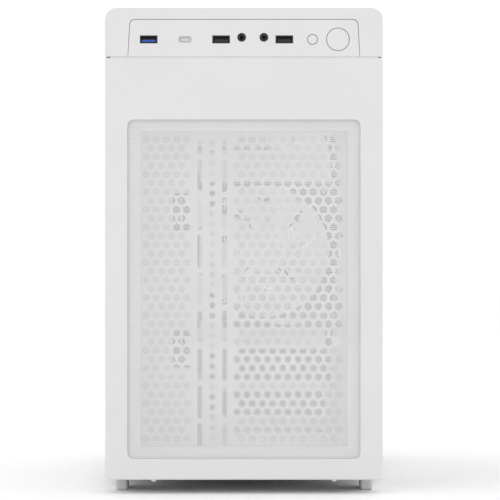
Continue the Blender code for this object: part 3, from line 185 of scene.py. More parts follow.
def circuit(name, colour):
    """Solder mask over copper: faint tracks under a low gloss."""
    made = Shade(name, colour, 0.38)
    made.vary_colour(made.noise(0.006, 1.0, (1.0, 1.0, 6.0)), 0.35)
    made.vary_roughness(made.noise(0.01), 0.05)
    made.bump(made.waves(0.0016, "Z"), 0.00002, 0.25)
    return made.data


def braid(name, colour):
    """A woven cable sleeve: two sets of fine slanting ribs."""
    made = Shade(name, colour, 0.7)
    made.vary_colour(made.noise(0.0012, 2.0), 0.3)
    made.vary_roughness(made.noise(0.002), 0.06)
    made.bump(made.waves(0.0012, "DIAGONAL"), 0.0002, 0.6)
    made.bump(made.waves(0.0014, "Z"), 0.0002, 0.5)
    return made.data


def clear_glass(name):
    """Thin clear glass; the low alpha lets the light straight through to the parts behind it."""
    made = Shade(name, (0.95, 0.97, 0.96), 0.02, Transmission_Weight=1.0, IOR=1.45, Alpha=0.12)
    made.vary_roughness(made.noise(0.08), 0.008)
    return made.data


WHITE = moulded("white_moulding", (0.705, 0.705, 0.705), 0.42)
WHITE_LIGHT = moulded("white_moulding_inset", (0.705, 0.705, 0.705), 0.36)
STEEL = powder_coat("white_powder_coat", (0.70, 0.70, 0.70))
# A darker copy of the white powder coat: painted shade on the inner sheets seen through the front mesh.
STEEL_SHADED = powder_coat("white_powder_coat_painted_shade", (0.66, 0.66, 0.66), 0.5)
# The mesh's own white paint, lightened as painted light to make up for the shade in and behind its holes.
MESH = powder_coat("white_mesh_paint_lightened", (0.90, 0.90, 0.90), 0.5)
# The front plate's white powder coat, lightened as painted light to make up for the shade the mesh casts on
# it.
PLATE_STEEL_LIGHTENED = powder_coat("white_powder_coat_front_lightened", (0.90, 0.90, 0.90), 0.45)
BLACK = moulded("black_moulding", (0.018, 0.018, 0.019), 0.40)
BLACK_FINE = moulded("black_insert", (0.010, 0.010, 0.011), 0.30)
BLUE = moulded("blue_insert", (0.012, 0.075, 0.46), 0.35)
GREY = moulded("grey_moulding", (0.30, 0.30, 0.31), 0.45)
LIME = moulded("green_insert", (0.16, 0.42, 0.10), 0.40)
PINK = moulded("pink_insert", (0.62, 0.20, 0.28), 0.40)
NET = moulded("black_filter_net", (0.030, 0.030, 0.031), 0.60)
BLACK_STEEL = powder_coat("black_powder_coat", (0.025, 0.025, 0.026), 0.45)
RUBBER = moulded("light_grey_rubber", (0.70, 0.70, 0.70), 0.75, 0.0008, 0.00004)
METAL = brushed("brushed_metal", (0.62, 0.62, 0.63), 0.28)
PLATED = brushed("plated_steel", (0.70, 0.70, 0.71), 0.22, (1.0, 1.0, 1.0))
ALUMINIUM = brushed("aluminium_fins", (0.74, 0.75, 0.77), 0.34, (1.0, 1.0, 30.0))
NICKEL = brushed("nickel_plated_pipe", (0.70, 0.70, 0.69), 0.24)
GOLD = brushed("gold_contacts", (0.83, 0.62, 0.25), 0.25, (1.0, 1.0, 1.0))
BOARD = circuit("dark_circuit_board", (0.016, 0.020, 0.022))
SLEEVE = braid("black_cable_sleeve", (0.020, 0.020, 0.021))
GLASS = clear_glass("clear_glass")


# ---------------------------------------------------------------- mesh helpers

def span(node):
    """A node's lowest and highest corners in millimetres."""
    low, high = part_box(node)
    return low / MM, high / MM


def piece(name, data, paints, body, slot, *replaced):
    """Links a mesh as a piece that rides on a body and may stand for CAD nodes."""
    obj = bpy.data.objects.new(name, data)
    bpy.context.scene.collection.objects.link(obj)
    for paint in paints if isinstance(paints, (list, tuple)) else [paints]:
        data.materials.append(paint)
    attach(obj, body)
    if replaced:
        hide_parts(*replaced)


def rounded(x0, x1, z0, z1, radius, steps=5):
    """The outline of a rectangle with round corners, as points counter-clockwise."""
    corners = ((x1 - radius, z1 - radius, 0), (x0 + radius, z1 - radius, 90), (x0 + radius, z0 + radius, 180))
    corners += ((x1 - radius, z0 + radius, 270),)
    points = []
    for x, z, start in corners:
        for step in range(steps + 1):
            turn = math.radians(start + 90 * step / steps)
            points.append((x + radius * math.cos(turn), z + radius * math.sin(turn)))
    return points


def ring(x, z, radius, sides=24, start=0.0):
    """A circle's outline about a point, its first corner turned by start."""
    turns = [start + 2 * math.pi * side / sides for side in range(sides)]
    return [(x + radius * math.cos(turn), z + radius * math.sin(turn)) for turn in turns]


def rectangle(x0, x1, z0, z1):
    return [(x1, z1), (x0, z1), (x0, z0), (x1, z0)]


def hexagons(x0, x1, z0, z1, pitch, radius, keep=lambda x, z: True):
    """Hexagon holes in close rows inside a field, where keep allows them."""
    found = []
    step = pitch * math.sqrt(3) / 2
    for row in range(int((z1 - z0) / step) + 1):
        shift = row % 2 * pitch / 2
        for column in range(int((x1 - x0 - shift) / pitch) + 1):
            x, z = x0 + shift + column * pitch, z0 + row * step
            if keep(x, z):
                found.append(ring(x, z, radius, 6, math.pi / 2))
    return found


# Where a flat outline's two directions and its thickness lie: columns are across, up, through
FACING = {
    "Y": Matrix(((1, 0, 0), (0, 0, 1), (0, 1, 0))),  # outline in X and Z, thickness along Y
    "X": Matrix(((0, 0, 1), (1, 0, 0), (0, 1, 0))),  # outline in Y and Z, thickness along X
    "Z": Matrix(((1, 0, 0), (0, 1, 0), (0, 0, 1))),  # outline in X and Y, thickness along Z
}


class Build:
    """Collects boxes, rods, plates and turned shapes of several materials into one mesh, in millimetres."""

    def __init__(self):
        self.work = bmesh.new()

    def settle(self, verts, slot, place, smooth=False):
        """Puts new points in place and paints the faces on them."""
        bmesh.ops.transform(self.work, matrix=place, verts=verts)
        for face in {face for vert in verts for face in vert.link_faces}:
            face.material_index = slot
            face.smooth = smooth
        return self

    def box(self, low, high, slot=0, bevel=0.0, segments=1, turn=None):
        """A box between two corners, with eased edges, turned about its own middle."""
        size = Vector(high) - Vector(low)
        made = bmesh.ops.create_cube(self.work, size=1.0)["verts"]
        bmesh.ops.scale(self.work, vec=size, verts=made)
        if bevel:
            edges = list({edge for vert in made for edge in vert.link_edges})
            eased = bmesh.ops.bevel(
                self.work, geom=edges, offset=bevel, segments=segments, affect="EDGES", profile=0.5
            )
            made = list({vert for face in eased["faces"] for vert in face.verts})
        place = Matrix.Translation((Vector(low) + Vector(high)) / 2) @ (turn or Matrix())
        return self.settle(made, slot, place)

    def rod(self, start, end, radius, slot=0, sides=20, end_radius=None):
        """A cylinder or cone from one point to another."""
        start, end = Vector(start), Vector(end)
        along = end - start
        last = radius if end_radius is None else end_radius
        made = bmesh.ops.create_cone(
            self.work, cap_ends=True, segments=sides, radius1=radius, radius2=last, depth=along.length
        )["verts"]
        turn = along.to_track_quat("Z", "Y").to_matrix().to_4x4()
        return self.settle(made, slot, Matrix.Translation((start + end) / 2) @ turn, True)

    def turned(self, centre, axis, profile, slot=0, sides=40, knurl=0.0, hollow=False):
        """A profile of (radius, distance along the axis) points, turned about the axis.

        Its ends are capped, or with hollow joined to each other; knurl deepens every second side.
        """
        loops = []
        for radius, along in profile:
            loop = []
            for side in range(sides):
                turn = 2 * math.pi * side / sides
                reach = radius - knurl * (side % 2)
                loop.append(self.work.verts.new((reach * math.cos(turn), reach * math.sin(turn), along)))
            loops.append(loop)
        pairs = list(zip(loops, loops[1:]))
        if hollow:
            pairs.append((loops[-1], loops[0]))
        else:
            self.work.faces.new(loops[0][::-1])
            self.work.faces.new(loops[-1])
        for a, b in pairs:
            for side in range(sides):
                after = (side + 1) % sides
                self.work.faces.new((a[side], a[after], b[after], b[side]))
        turn = Vector(axis).to_track_quat("Z", "Y").to_matrix().to_4x4()
        made = [vert for loop in loops for vert in loop]
        return self.settle(made, slot, Matrix.Translation(Vector(centre)) @ turn, True)

    def plate(self, outline, holes, low, high, facing="Y", slot=0, bevel=0.0):
        """A sheet between two planes with its outline and holes, its edges eased by bevel."""
        curve = bpy.data.curves.new("plate", "CURVE")
        curve.dimensions = "2D"
        curve.fill_mode = "BOTH"
        curve.extrude = (high - low) / 2 - bevel
        curve.bevel_depth = bevel
        curve.bevel_resolution = 1
        curve.offset = -bevel
        for points in [outline, *holes]:
            spline = curve.splines.new("POLY")
            spline.points.add(len(points) - 1)
            for point, (across, up) in zip(spline.points, points):
                point.co = (across, up, 0.0, 1.0)
            spline.use_cyclic_u = True
        guide = bpy.data.objects.new("plate", curve)
        bpy.context.scene.collection.objects.link(guide)
        bpy.context.view_layer.update()
        data = bpy.data.meshes.new_from_object(guide.evaluated_get(bpy.context.evaluated_depsgraph_get()))
        bpy.data.objects.remove(guide)
        bpy.data.curves.remove(curve)
        before = set(self.work.verts)
        self.work.from_mesh(data)
        bpy.data.meshes.remove(data)
        made = [vert for vert in self.work.verts if vert not in before]
        turn = FACING[facing].to_4x4()
        turn.translation = FACING[facing] @ Vector((0, 0, (low + high) / 2))
        return self.settle(made, slot, turn)

    def finish(self, name, paints, slot, *replaced, body="chassis", sharp=35.0, place=None):
        """Links what was built as a piece in metres, moved by place first."""
        bmesh.ops.remove_doubles(self.work, verts=self.work.verts, dist=0.0005)
        place = Matrix.Scale(MM, 4) @ (place or Matrix())
        bmesh.ops.transform(self.work, matrix=place, verts=self.work.verts)
        bmesh.ops.recalc_face_normals(self.work, faces=self.work.faces)
        data = bpy.data.meshes.new(name)
        self.work.to_mesh(data)
        self.work.free()
        data.shade_smooth()
        data.set_sharp_from_angle(angle=math.radians(sharp))
        piece(name, data, paints, body, slot, *replaced)


def inset(low, high, by=0.0):
    """A node's rectangle seen from the front, drawn in by a margin."""
    return rectangle(low.x + by, high.x - by, low.z + by, high.z - by)


def web_mesh(name, columns, rows, pitch, hole, corner, depth, place, joined=False):
    """A thin net of small flats between hexagon holes, with the holes' walls where depth is given.

    With joined its last row is only met: the next net makes that row's own flats and walls.
    """
    step = pitch * math.sqrt(3) / 2
    reach = hole / 2 / math.cos(math.radians(30))
    around = ring(0.0, 0.0, reach, 6, math.radians(30))
    left, bottom = corner
    verts, faces = [], []
    for row in range(rows):
        for column in range(columns):
            x, y = left + (column + row % 2 / 2) * pitch, bottom + row * step
            verts += [(x + dx, y + dy, 0.0) for dx, dy in around]

    def at(row, column, k):
        return (row * columns + column) * 6 + k

    for row in range(rows):
        for column in range(columns):
            up_right = column + row % 2
            up_left = up_right - 1
            right = column + 1 < columns
            above_right = row + 1 < rows and up_right < columns
            above_left = row + 1 < rows and up_left >= 0
            here = [at(row, column, k) for k in range(3)]
            if right and not (joined and row + 1 == rows):
                faces.append((at(row, column, 5), at(row, column + 1, 3), at(row, column + 1, 2), here[0]))
            if above_right:
                faces.append((here[0], at(row + 1, up_right, 4), at(row + 1, up_right, 3), here[1]))
            if above_left:
                faces.append((here[1], at(row + 1, up_left, 5), at(row + 1, up_left, 4), here[2]))
            if right and above_right:
                faces.append((here[0], at(row, column + 1, 2), at(row + 1, up_right, 4)))
            if above_right and above_left:
                faces.append((here[1], at(row + 1, up_right, 3), at(row + 1, up_left, 5)))
    if depth:
        count = len(verts)
        verts += [(x, y, depth) for x, y, _ in verts]
        for first in range(0, count - 6 * columns * joined, 6):
            for k in range(6):
                a, b = first + k, first + (k + 1) % 6
                faces.append((a, b, b + count, a + count))
    data = bpy.data.meshes.new(name)
    data.from_pydata(verts, [], faces)
    data.transform(Matrix.Scale(MM, 4) @ place)
    return data


def net(name, low, high, facing, pitch, hole, margin, depth, at, parts=1):
    """The meshes of a net that fills a rectangle but for its margin, in parts stacked upwards."""
    step = pitch * math.sqrt(3) / 2
    columns = int((high[0] - low[0] - 2 * margin) / pitch)
    rows = int((high[1] - low[1] - 2 * margin) / step)
    left = (low[0] + high[0]) / 2 - (columns - 0.5) * pitch / 2
    bottom = (low[1] + high[1]) / 2 - (rows - 1) * step / 2
    place = FACING[facing].to_4x4()
    place.translation = FACING[facing] @ Vector((0, 0, at))
    each = rows // parts // 2 * 2
    made = []
    for part in range(parts):
        first = part * each
        joined = part < parts - 1
        count = each + 1 if joined else rows - first
        corner = (left, bottom + first * step)
        made.append(web_mesh(f"{name}_{part + 1}", columns, count, pitch, hole, corner, depth, place, joined))
    return made


def repaint(node, paint):
    """Gives a CAD node a material of its own."""
    NODES[node].data.materials.clear()
    NODES[node].data.materials.append(paint)


def ease(node, width, segments=2, angle=40.0):
    """Rounds a CAD node's sharp edges inside its own size."""
    weld = NODES[node].modifiers.new("joined_corners", "WELD")
    weld.merge_threshold = 0.000002
    modifier = NODES[node].modifiers.new("eased_edges", "BEVEL")
    modifier.width = width * MM
    modifier.segments = segments
    modifier.limit_method = "ANGLE"
    modifier.angle_limit = math.radians(angle)


# ---------------------------------------------------------------- camera, floor and light, in metres

def stage():
    """A level view from straight in front, two metres away, in soft even studio light."""
    view = bpy.data.objects.new("camera", bpy.data.cameras.new("camera"))
    view.data.sensor_width = 36.0
    view.data.lens = 186.2
    view.data.clip_end = 50.0
    view.location = (0.00475, CAD_BOX[0][1] - 2.0, 0.1888)
    view.rotation_euler = (math.pi / 2, 0.0, 0.0)
    bpy.context.scene.collection.objects.link(view)
    bpy.context.scene.camera = view
    bpy.context.scene.view_settings.view_transform = "Standard"

    floor_data = bpy.data.meshes.new("floor")
    work = bmesh.new()
    bmesh.ops.create_grid(work, x_segments=1, y_segments=1, size=8.0)
    work.to_mesh(floor_data)
    work.free()
    floor = bpy.data.objects.new("floor", floor_data)
    bpy.context.scene.collection.objects.link(floor)
    paint = Shade("pale_floor", (0.985, 0.985, 0.985), 0.8)
    paint.vary_colour(paint.noise(0.4), 0.004)
    floor_data.materials.append(paint.data)

    world = bpy.data.worlds.new("studio")
    world.use_nodes = True
    world.node_tree.nodes["Background"].inputs["Color"].default_value = (1.0, 1.0, 1.0, 1.0)
    world.node_tree.nodes["Background"].inputs["Strength"].default_value = 1.03
    bpy.context.scene.world = world
    lamps = (
        ("key", (-1.6, -2.2, 1.7), 1.4, 5.0),
        ("fill", (2.2, -1.2, 1.2), 1.6, 2.0),
        ("back", (0.6, 2.4, 1.6), 1.4, 5.0),
    )
    for name, place, size, power in lamps:
        data = bpy.data.lights.new(name, "AREA")
        data.size = size
        data.energy = power
        lamp = bpy.data.objects.new(name, data)
        lamp.location = place
        aim = Vector((0.0, 0.0, 0.18)) - Vector(place)
        lamp.rotation_euler = aim.to_track_quat("-Z", "Y").to_euler()
        bpy.context.scene.collection.objects.link(lamp)


# ---------------------------------------------------------------- places read from the frame

SHELL_LOW, SHELL_HIGH = span("front_shell")
UNDER, FRONT = SHELL_LOW.z, SHELL_LOW.y
SEAM = span("top_bezel")[0].z
HALF = SHELL_HIGH.x
# Clip sockets of the front plate and thumbscrew holes of the rear one: across, heights, radius
CLIP_X, CLIP_HEIGHTS, CLIP_HOLE = HALF - 9.5, (40.0, 170.0, 300.0), 3.1
SCREW_X, SCREW_HEIGHTS, SCREW_HOLE = HALF - 9.5, (60.0, 310.0), 2.3
BOARD_FACE = span("rear_ports")[0].x - 0.3
REAR_Y = span("rear_plate")[0].y
HEADER = span("board_power_cable")[1].z - 11.0     # height of the board's power header
FAN_SCREW = 52.5                                   # a 120 mm fan's screws, either way from its middle
PASSAGES = ((93.0, 124.0), (203.0, 235.0))         # heights of the cable bar's two passages
PASSAGE_LEFT, PASSAGE_RIGHT = -58.0, -44.0
PIN_PITCH, HEADER_ROWS = 4.2, 12                   # the board's power header


# ---------------------------------------------------------------- front

def front_mesh():
    """The fine mesh across the window, in a plain flat border."""
    low, high = span("front_mesh")
    nets = net("front_mesh_net", (low.x, low.z), (high.x, high.z), "Y", 1.75, 1.10, 1.6, 0.6, low.y + 0.05, 2)
    # The net and its border take the lightened mesh paint, painted light over the holes' shade.
    piece("front_mesh_lower", nets[0], MESH, "front_panel", "mesh_paint", "front_mesh")
    piece("front_mesh_upper", nets[1], MESH, "front_panel", "mesh_paint", "front_mesh")
    border = Build()
    border.plate(inset(low, high), [inset(low, high, 2.3)], low.y + 0.1, high.y)
    border.finish("front_mesh_border", MESH, "mesh_paint", body="front_panel")


def end_plate(low, high):
    """The outline of the front or rear plate, which narrows above the side panels' top edge."""
    shoulder = span("motherboard_tray")[1].z
    tab = HALF - 11.0
    outline = [(high.x, low.z), (high.x, shoulder), (tab, shoulder), (tab, high.z)]
    return outline + [(-x, z) for x, z in reversed(outline)]


def side_holes(across, heights, radius, sides):
    """Holes in both side edges of an end plate, at heights above the body's underside."""
    return [ring(side * across, UNDER + height, radius, sides) for side in (-1, 1) for height in heights]


def front_plate():
    """The perforated steel plate: two fields of hexagon holes, fan slots and a column of single holes."""
    low, high = span("front_plate")
    pitch, radius, rows = 8.0, 3.25, 35
    top = UNDER + 265.0
    left_field, right_field, column = -77.0, -1.5, -25.0
    holes = []
    for row in range(rows):
        z = top - row * pitch * math.sqrt(3) / 2
        odd = row % 2
        left = [left_field + 4 * odd + pitch * k for k in range(5 - odd)]
        right = [right_field - 4 * odd + pitch * k for k in range(10 + odd)]
        holes += [ring(x, z, radius, 6, math.pi / 2) for x in left + right]
    holes += [ring(column, UNDER + 262.3 - pitch * k, 2.6, 6, math.pi / 2) for k in range(30)]
    step, bridge, half = 29.6, 4.0, 2.0
    reach = (step - bridge) / 2
    for x in (column - 9.75, column + 9.75):
        for number in range(9):
            z = UNDER + 265.6 - number * step
            end = min(z + reach, UNDER + 264.0)
            holes.append(rounded(x - half, x + half, z - reach, end, half - 0.01, 3))
    holes += side_holes(CLIP_X, CLIP_HEIGHTS, CLIP_HOLE, 16)
    notch = SEAM + 2.0
    holes.append(rectangle(-20.0, 20.0, notch, notch + 14.0))
    sheet = Build().plate(end_plate(low, high), holes, low.y, high.y)
    # Its lighter white is painted light over the shade behind the mesh.
    sheet.finish("front_plate_steel", PLATE_STEEL_LIGHTENED, "white_steel", "front_plate")


def front_trim():
    """Materials and eased edges of the moulded front, its lower clips and the pale lip behind its seam."""
    for node in ("front_shell", "top_bezel", "filter_frame"):
        repaint(node, WHITE)
    for node in ("port_panel", "power_button", "reset_button"):
        repaint(node, WHITE_LIGHT)
    ease("top_bezel", 0.7)
    ease("port_panel", 0.15, 1)
    ease("filter_frame", 0.3, 1)
    repaint("port_board", BOARD)
    clips = Build()
    lip = (SHELL_HIGH.x - 4.0, FRONT + 3.0, SEAM - 0.06)
    clips.box((SHELL_LOW.x + 4.0, FRONT + 0.7, SHELL_HIGH.z - 0.2), lip)
    for x in (-70.0, 70.0):
        clips.box((x - 1.9, FRONT + 4, UNDER - 1.6), (x + 1.9, FRONT + 9, UNDER + 0.4), bevel=0.5)
    clips.finish("front_panel_clips", WHITE, "white_plastic", body="front_panel")


def usb_port(node, tongue_paint):
    """A USB-A socket: its dark shell and throat, and the tongue with its contacts."""
    low, high = span(node)
    wall = 0.35
    made = Build()
    lining = inset(low, high, wall)
    made.plate(rounded(low.x, high.x, low.z, high.z, 0.3, 2), [lining], low.y, high.y - 1.0)
    made.box((low.x + wall, high.y - 3, low.z + wall), (high.x - wall, high.y, high.z - wall), 1)
    made.plate(lining, [inset(low, high, wall + 0.3)], low.y + 0.25, high.y - 3, slot=1)
    middle = (low.z + high.z) / 2
    tongue_low = (low.x + 1.1, low.y + 0.6, low.z + 0.85)
    made.box(tongue_low, (high.x - 1.1, high.y - 2.5, middle - 0.30), 2, 0.12)
    for number in range(4):
        x = low.x + 3.0 + number * (high.x - low.x - 6.0) / 3
        made.box((x - 0.45, low.y + 1.2, middle - 0.31), (x + 0.45, high.y - 3, middle - 0.21), 3)
    made.finish(f"{node}_socket", [BLACK_FINE, BLACK_FINE, tongue_paint, GOLD], "black_plastic", node)


def small_usb_port():
    """A USB-C socket: a shell with round ends in a pale collar, and a thin tongue in its pale throat."""
    low, high = span("usb_port_small")
    made = Build()
    half = (high.z - low.z) / 2

    def shape(wall):
        return rounded(low.x + wall, high.x - wall, low.z + wall, high.z - wall, half - wall - 0.01, 8)

    made.plate(inset(low, high, -0.2), [shape(0.12)], low.y + 0.05, high.y, slot=1)
    made.plate(shape(0.2), [shape(0.5)], low.y, high.y)
    made.plate(shape(0.55), [], low.y + 0.9, high.y, slot=1)
    middle = (low.z + high.z) / 2
    made.box((low.x + 1.6, low.y + 0.5, middle - 0.35), (high.x - 1.6, low.y + 1.0, middle + 0.35), 1, 0.1)
    made.finish("usb_port_small_socket", [GREY, WHITE_LIGHT], "black_plastic", "usb_port_small")


def audio_jack(node):
    """A 3.5 mm jack: a black turned barrel with a contact ring inside its bore."""
    low, high = span(node)
    x, z = (low.x + high.x) / 2, (low.z + high.z) / 2
    radius, bore = (high.x - low.x) / 2, 1.75
    depth = high.y - low.y
    profile = [(radius - 0.3, 0.0), (radius, 0.3), (radius, depth), (bore, depth), (bore, 0.35)]
    profile.append((bore + 0.35, 0.0))
    made = Build().turned((x, low.y, z), (0, 1, 0), profile, 0, 40, hollow=True)
    made.rod((x, high.y - 0.4, z), (x, high.y - 0.1, z), radius - 0.2, 1)
    contact = [(bore - 0.05, 1.6), (bore + 0.2, 1.6), (bore + 0.2, 2.4), (bore - 0.05, 2.4)]
    made.turned((x, low.y, z), (0, 1, 0), contact, 2, 32, hollow=True)
    made.finish(f"{node}_barrel", [BLACK, BLACK_FINE, PLATED], "black_plastic", node)


def power_mark():
    """The usual power symbol, a broken ring and a bar, set a hair proud of the button."""
    low, high = span("power_button")
    x, z, face = (low.x + high.x) / 2, (low.z + high.z) / 2, low.y
    made = Build()
    gap, steps, wide, radius = 32, 28, 0.22, 2.3
    turns = [math.radians(90 + gap + (360 - 2 * gap) * step / steps) for step in range(steps + 1)]
    outer = [(x + (radius + wide) * math.cos(t), z + (radius + wide) * math.sin(t)) for t in turns]
    inner = [(x + (radius - wide) * math.cos(t), z + (radius - wide) * math.sin(t)) for t in reversed(turns)]
    made.plate(outer + inner, [], face - 0.03, face + 0.2)
    made.plate(rectangle(x - wide, x + wide, z + 0.6, z + radius + 0.9), [], face - 0.03, face + 0.2)
    made.finish("power_mark", WHITE, "white_plastic", body="power_button_body")


# ---------------------------------------------------------------- fans

def blade_loft(build, root, tip, count, height):
    """Curved blades round an axis, each a thin twisted surface closed all round."""
    along, across = 7, 6
    thick, sweep = 1.1, math.radians(24.0)
    for number in range(count):
        sides = []
        for lift in (-thick / 2, thick / 2):
            grid = []
            for i in range(along + 1):
                share = i / along
                radius = root + (tip - root) * share
                width = (0.62 + 0.10 * share) * 2 * math.pi / count
                lead = 2 * math.pi * number / count + sweep * share**1.4
                row = []
                for j in range(across + 1):
                    chord = j / across
                    turn = lead + width * chord
                    rise = height * (1 - 0.25 * share) * (chord - 0.5 - 0.18 * math.sin(math.pi * chord))
                    point = (radius * math.cos(turn), radius * math.sin(turn), rise + lift)
                    row.append(build.work.verts.new(point))
                grid.append(row)
            sides.append(grid)
        lower, upper = sides
        faces = []
        for i in range(along):
            for j in range(across):
                faces.append((upper[i][j], upper[i + 1][j], upper[i + 1][j + 1], upper[i][j + 1]))
                faces.append((lower[i][j], lower[i][j + 1], lower[i + 1][j + 1], lower[i + 1][j]))
        rim = [(i, 0) for i in range(along + 1)] + [(along, j) for j in range(1, across + 1)]
        rim += [(i, across) for i in range(along - 1, -1, -1)] + [(0, j) for j in range(across - 1, 0, -1)]
        for (i, j), (k, m) in zip(rim, rim[1:] + rim[:1]):
            faces.append((lower[i][j], lower[k][m], upper[k][m], upper[i][j]))
        for corners in faces:
            build.work.faces.new(corners).smooth = True


def on_axis(node, axis, facing):
    """The matrix that takes local +Z to a node's axis, as it faces, at the node's middle."""
    low, high = span(node)
    turn = {"X": Vector((facing, 0, 0)), "Y": Vector((0, facing, 0)), "Z": Vector((0, 0, facing))}[axis]
    return Matrix.Translation((low + high) / 2) @ turn.to_track_quat("Z", "Y").to_matrix().to_4x4()


def fan_frame(node, axis):
    """A square fan frame: two drilled flanges, the barrel, four straight struts and the motor seat."""
    low, high = span(node)
    thick = (high - low)["XYZ".index(axis)]
    half, bore = 60.0, 57.5
    outline = rounded(-half, half, -half, half, 5.0)
    corners = [(x, y) for x in (-FAN_SCREW, FAN_SCREW) for y in (-FAN_SCREW, FAN_SCREW)]
    drilled = [ring(x, y, 2.2, 14) for x, y in corners]
    made = Build()
    flange, back = 3.6, -thick / 2
    for start in (back, thick / 2 - flange):
        made.plate(outline, [ring(0, 0, bore, 72)] + drilled, start, start + flange, "Z", 0, 0.35)
    barrel = [(bore, 0.0), (bore + 1.6, 0.0), (bore + 1.6, thick - 2.0), (bore, thick - 2.0)]
    made.turned((0, 0, back + 1.0), (0, 0, 1), barrel, 0, 72, hollow=True)
    post = [(2.2, 0.0), (4.6, 0.0), (4.6, thick - 2.0), (2.2, thick - 2.0)]
    for x, y in corners:
        made.turned((x, y, back + 1.0), (0, 0, 1), post, 0, 20, hollow=True)
    seat = [(19.0, 0.0), (20.0, 1.0), (20.0, 3.2), (18.5, 3.8)]
    made.turned((0, 0, back + 0.2), (0, 0, 1), seat, 0, 48)
    for number in range(4):
        turn = Matrix.Rotation(math.radians(45 + 90 * number), 4, "Z")
        bar_low, bar_high = Vector((18.0, -1.6, back + 0.4)), Vector((bore + 0.8, 1.6, back + 3.6))
        middle = (bar_low + bar_high) / 2
        centre = turn @ middle
        shift = centre - middle
        made.box(bar_low + shift, bar_high + shift, 0, 0.5, turn=turn)
    made.finish(f"{node}_housing", BLACK, "black_plastic", node, place=on_axis(node, axis, -1))


def fan_rotor(node, axis, facing, body, radius, hub, paint, slot, count=9, height=15.0):
    """The hub with its cap step, and its blades."""
    low, high = span(node)
    depth = (high - low)["XYZ".index(axis)]
    half = depth / 2
    made = Build()
    cap = [(hub - 1.2, -half + 0.2), (hub - 0.1, -half + 0.9), (hub - 0.1, half - 1.6)]
    cap += [(hub - 1.4, half - 0.3), (hub - 4.0, half - 0.1), (hub - 4.4, half - 0.6)]
    made.turned((0, 0, 0), (0, 0, 1), cap, 0, 56)
    blade_loft(made, hub - 1.0, radius - 0.6, count, min(height, depth - 2.5))
    centre = on_axis(node, axis, facing)
    origin = joint_centre(body)
    for turn in range(3):
        if "XYZ"[turn] != axis:
            centre[turn][3] = origin[turn]
    made.finish(f"{node}_blades", paint, slot, node, body=body, sharp=30.0, place=centre)


def joint_centre(body):
    """A point on the axis of the joint that moves a body, in millimetres."""
    for joint in frame["record"]["behaviour"]["joints"]:
        if joint["child"] == body:
            return Vector(joint["pos_m"]) / MM
    raise SystemExit(f"no joint moves {body}")


def fans():
    """The three framed fans, white rotors but for the supply's, and the card's two bare rotors."""
    white, black = (WHITE, "white_plastic"), (BLACK, "black_plastic")
    framed = (("rear_fan", "Y", white), ("cooler_fan", "Y", white), ("supply_fan", "Z", black))
    for name, axis, looks in framed:
        fan_frame(f"{name}_frame", axis)
        fan_rotor(f"{name}_rotor", axis, -1, f"{name}_spinner", 56.0, 20.0, *looks)
    for number in (1, 2):
        body = f"card_fan_spinner_{number}"
        fan_rotor(f"card_fan_{number}", "Z", 1, body, 42.0, 16.0, *black, 11, 8.0)


# ---------------------------------------------------------------- board and cooler

def header_pins(board_low):
    """Where the pins of the board's power header stand, along Y and Z, in two columns."""
    first = HEADER - (HEADER_ROWS - 1) * PIN_PITCH / 2
    return [(board_low.y + 4.2 + n % 2 * 4.4, first + n // 2 * PIN_PITCH) for n in range(2 * HEADER_ROWS)]


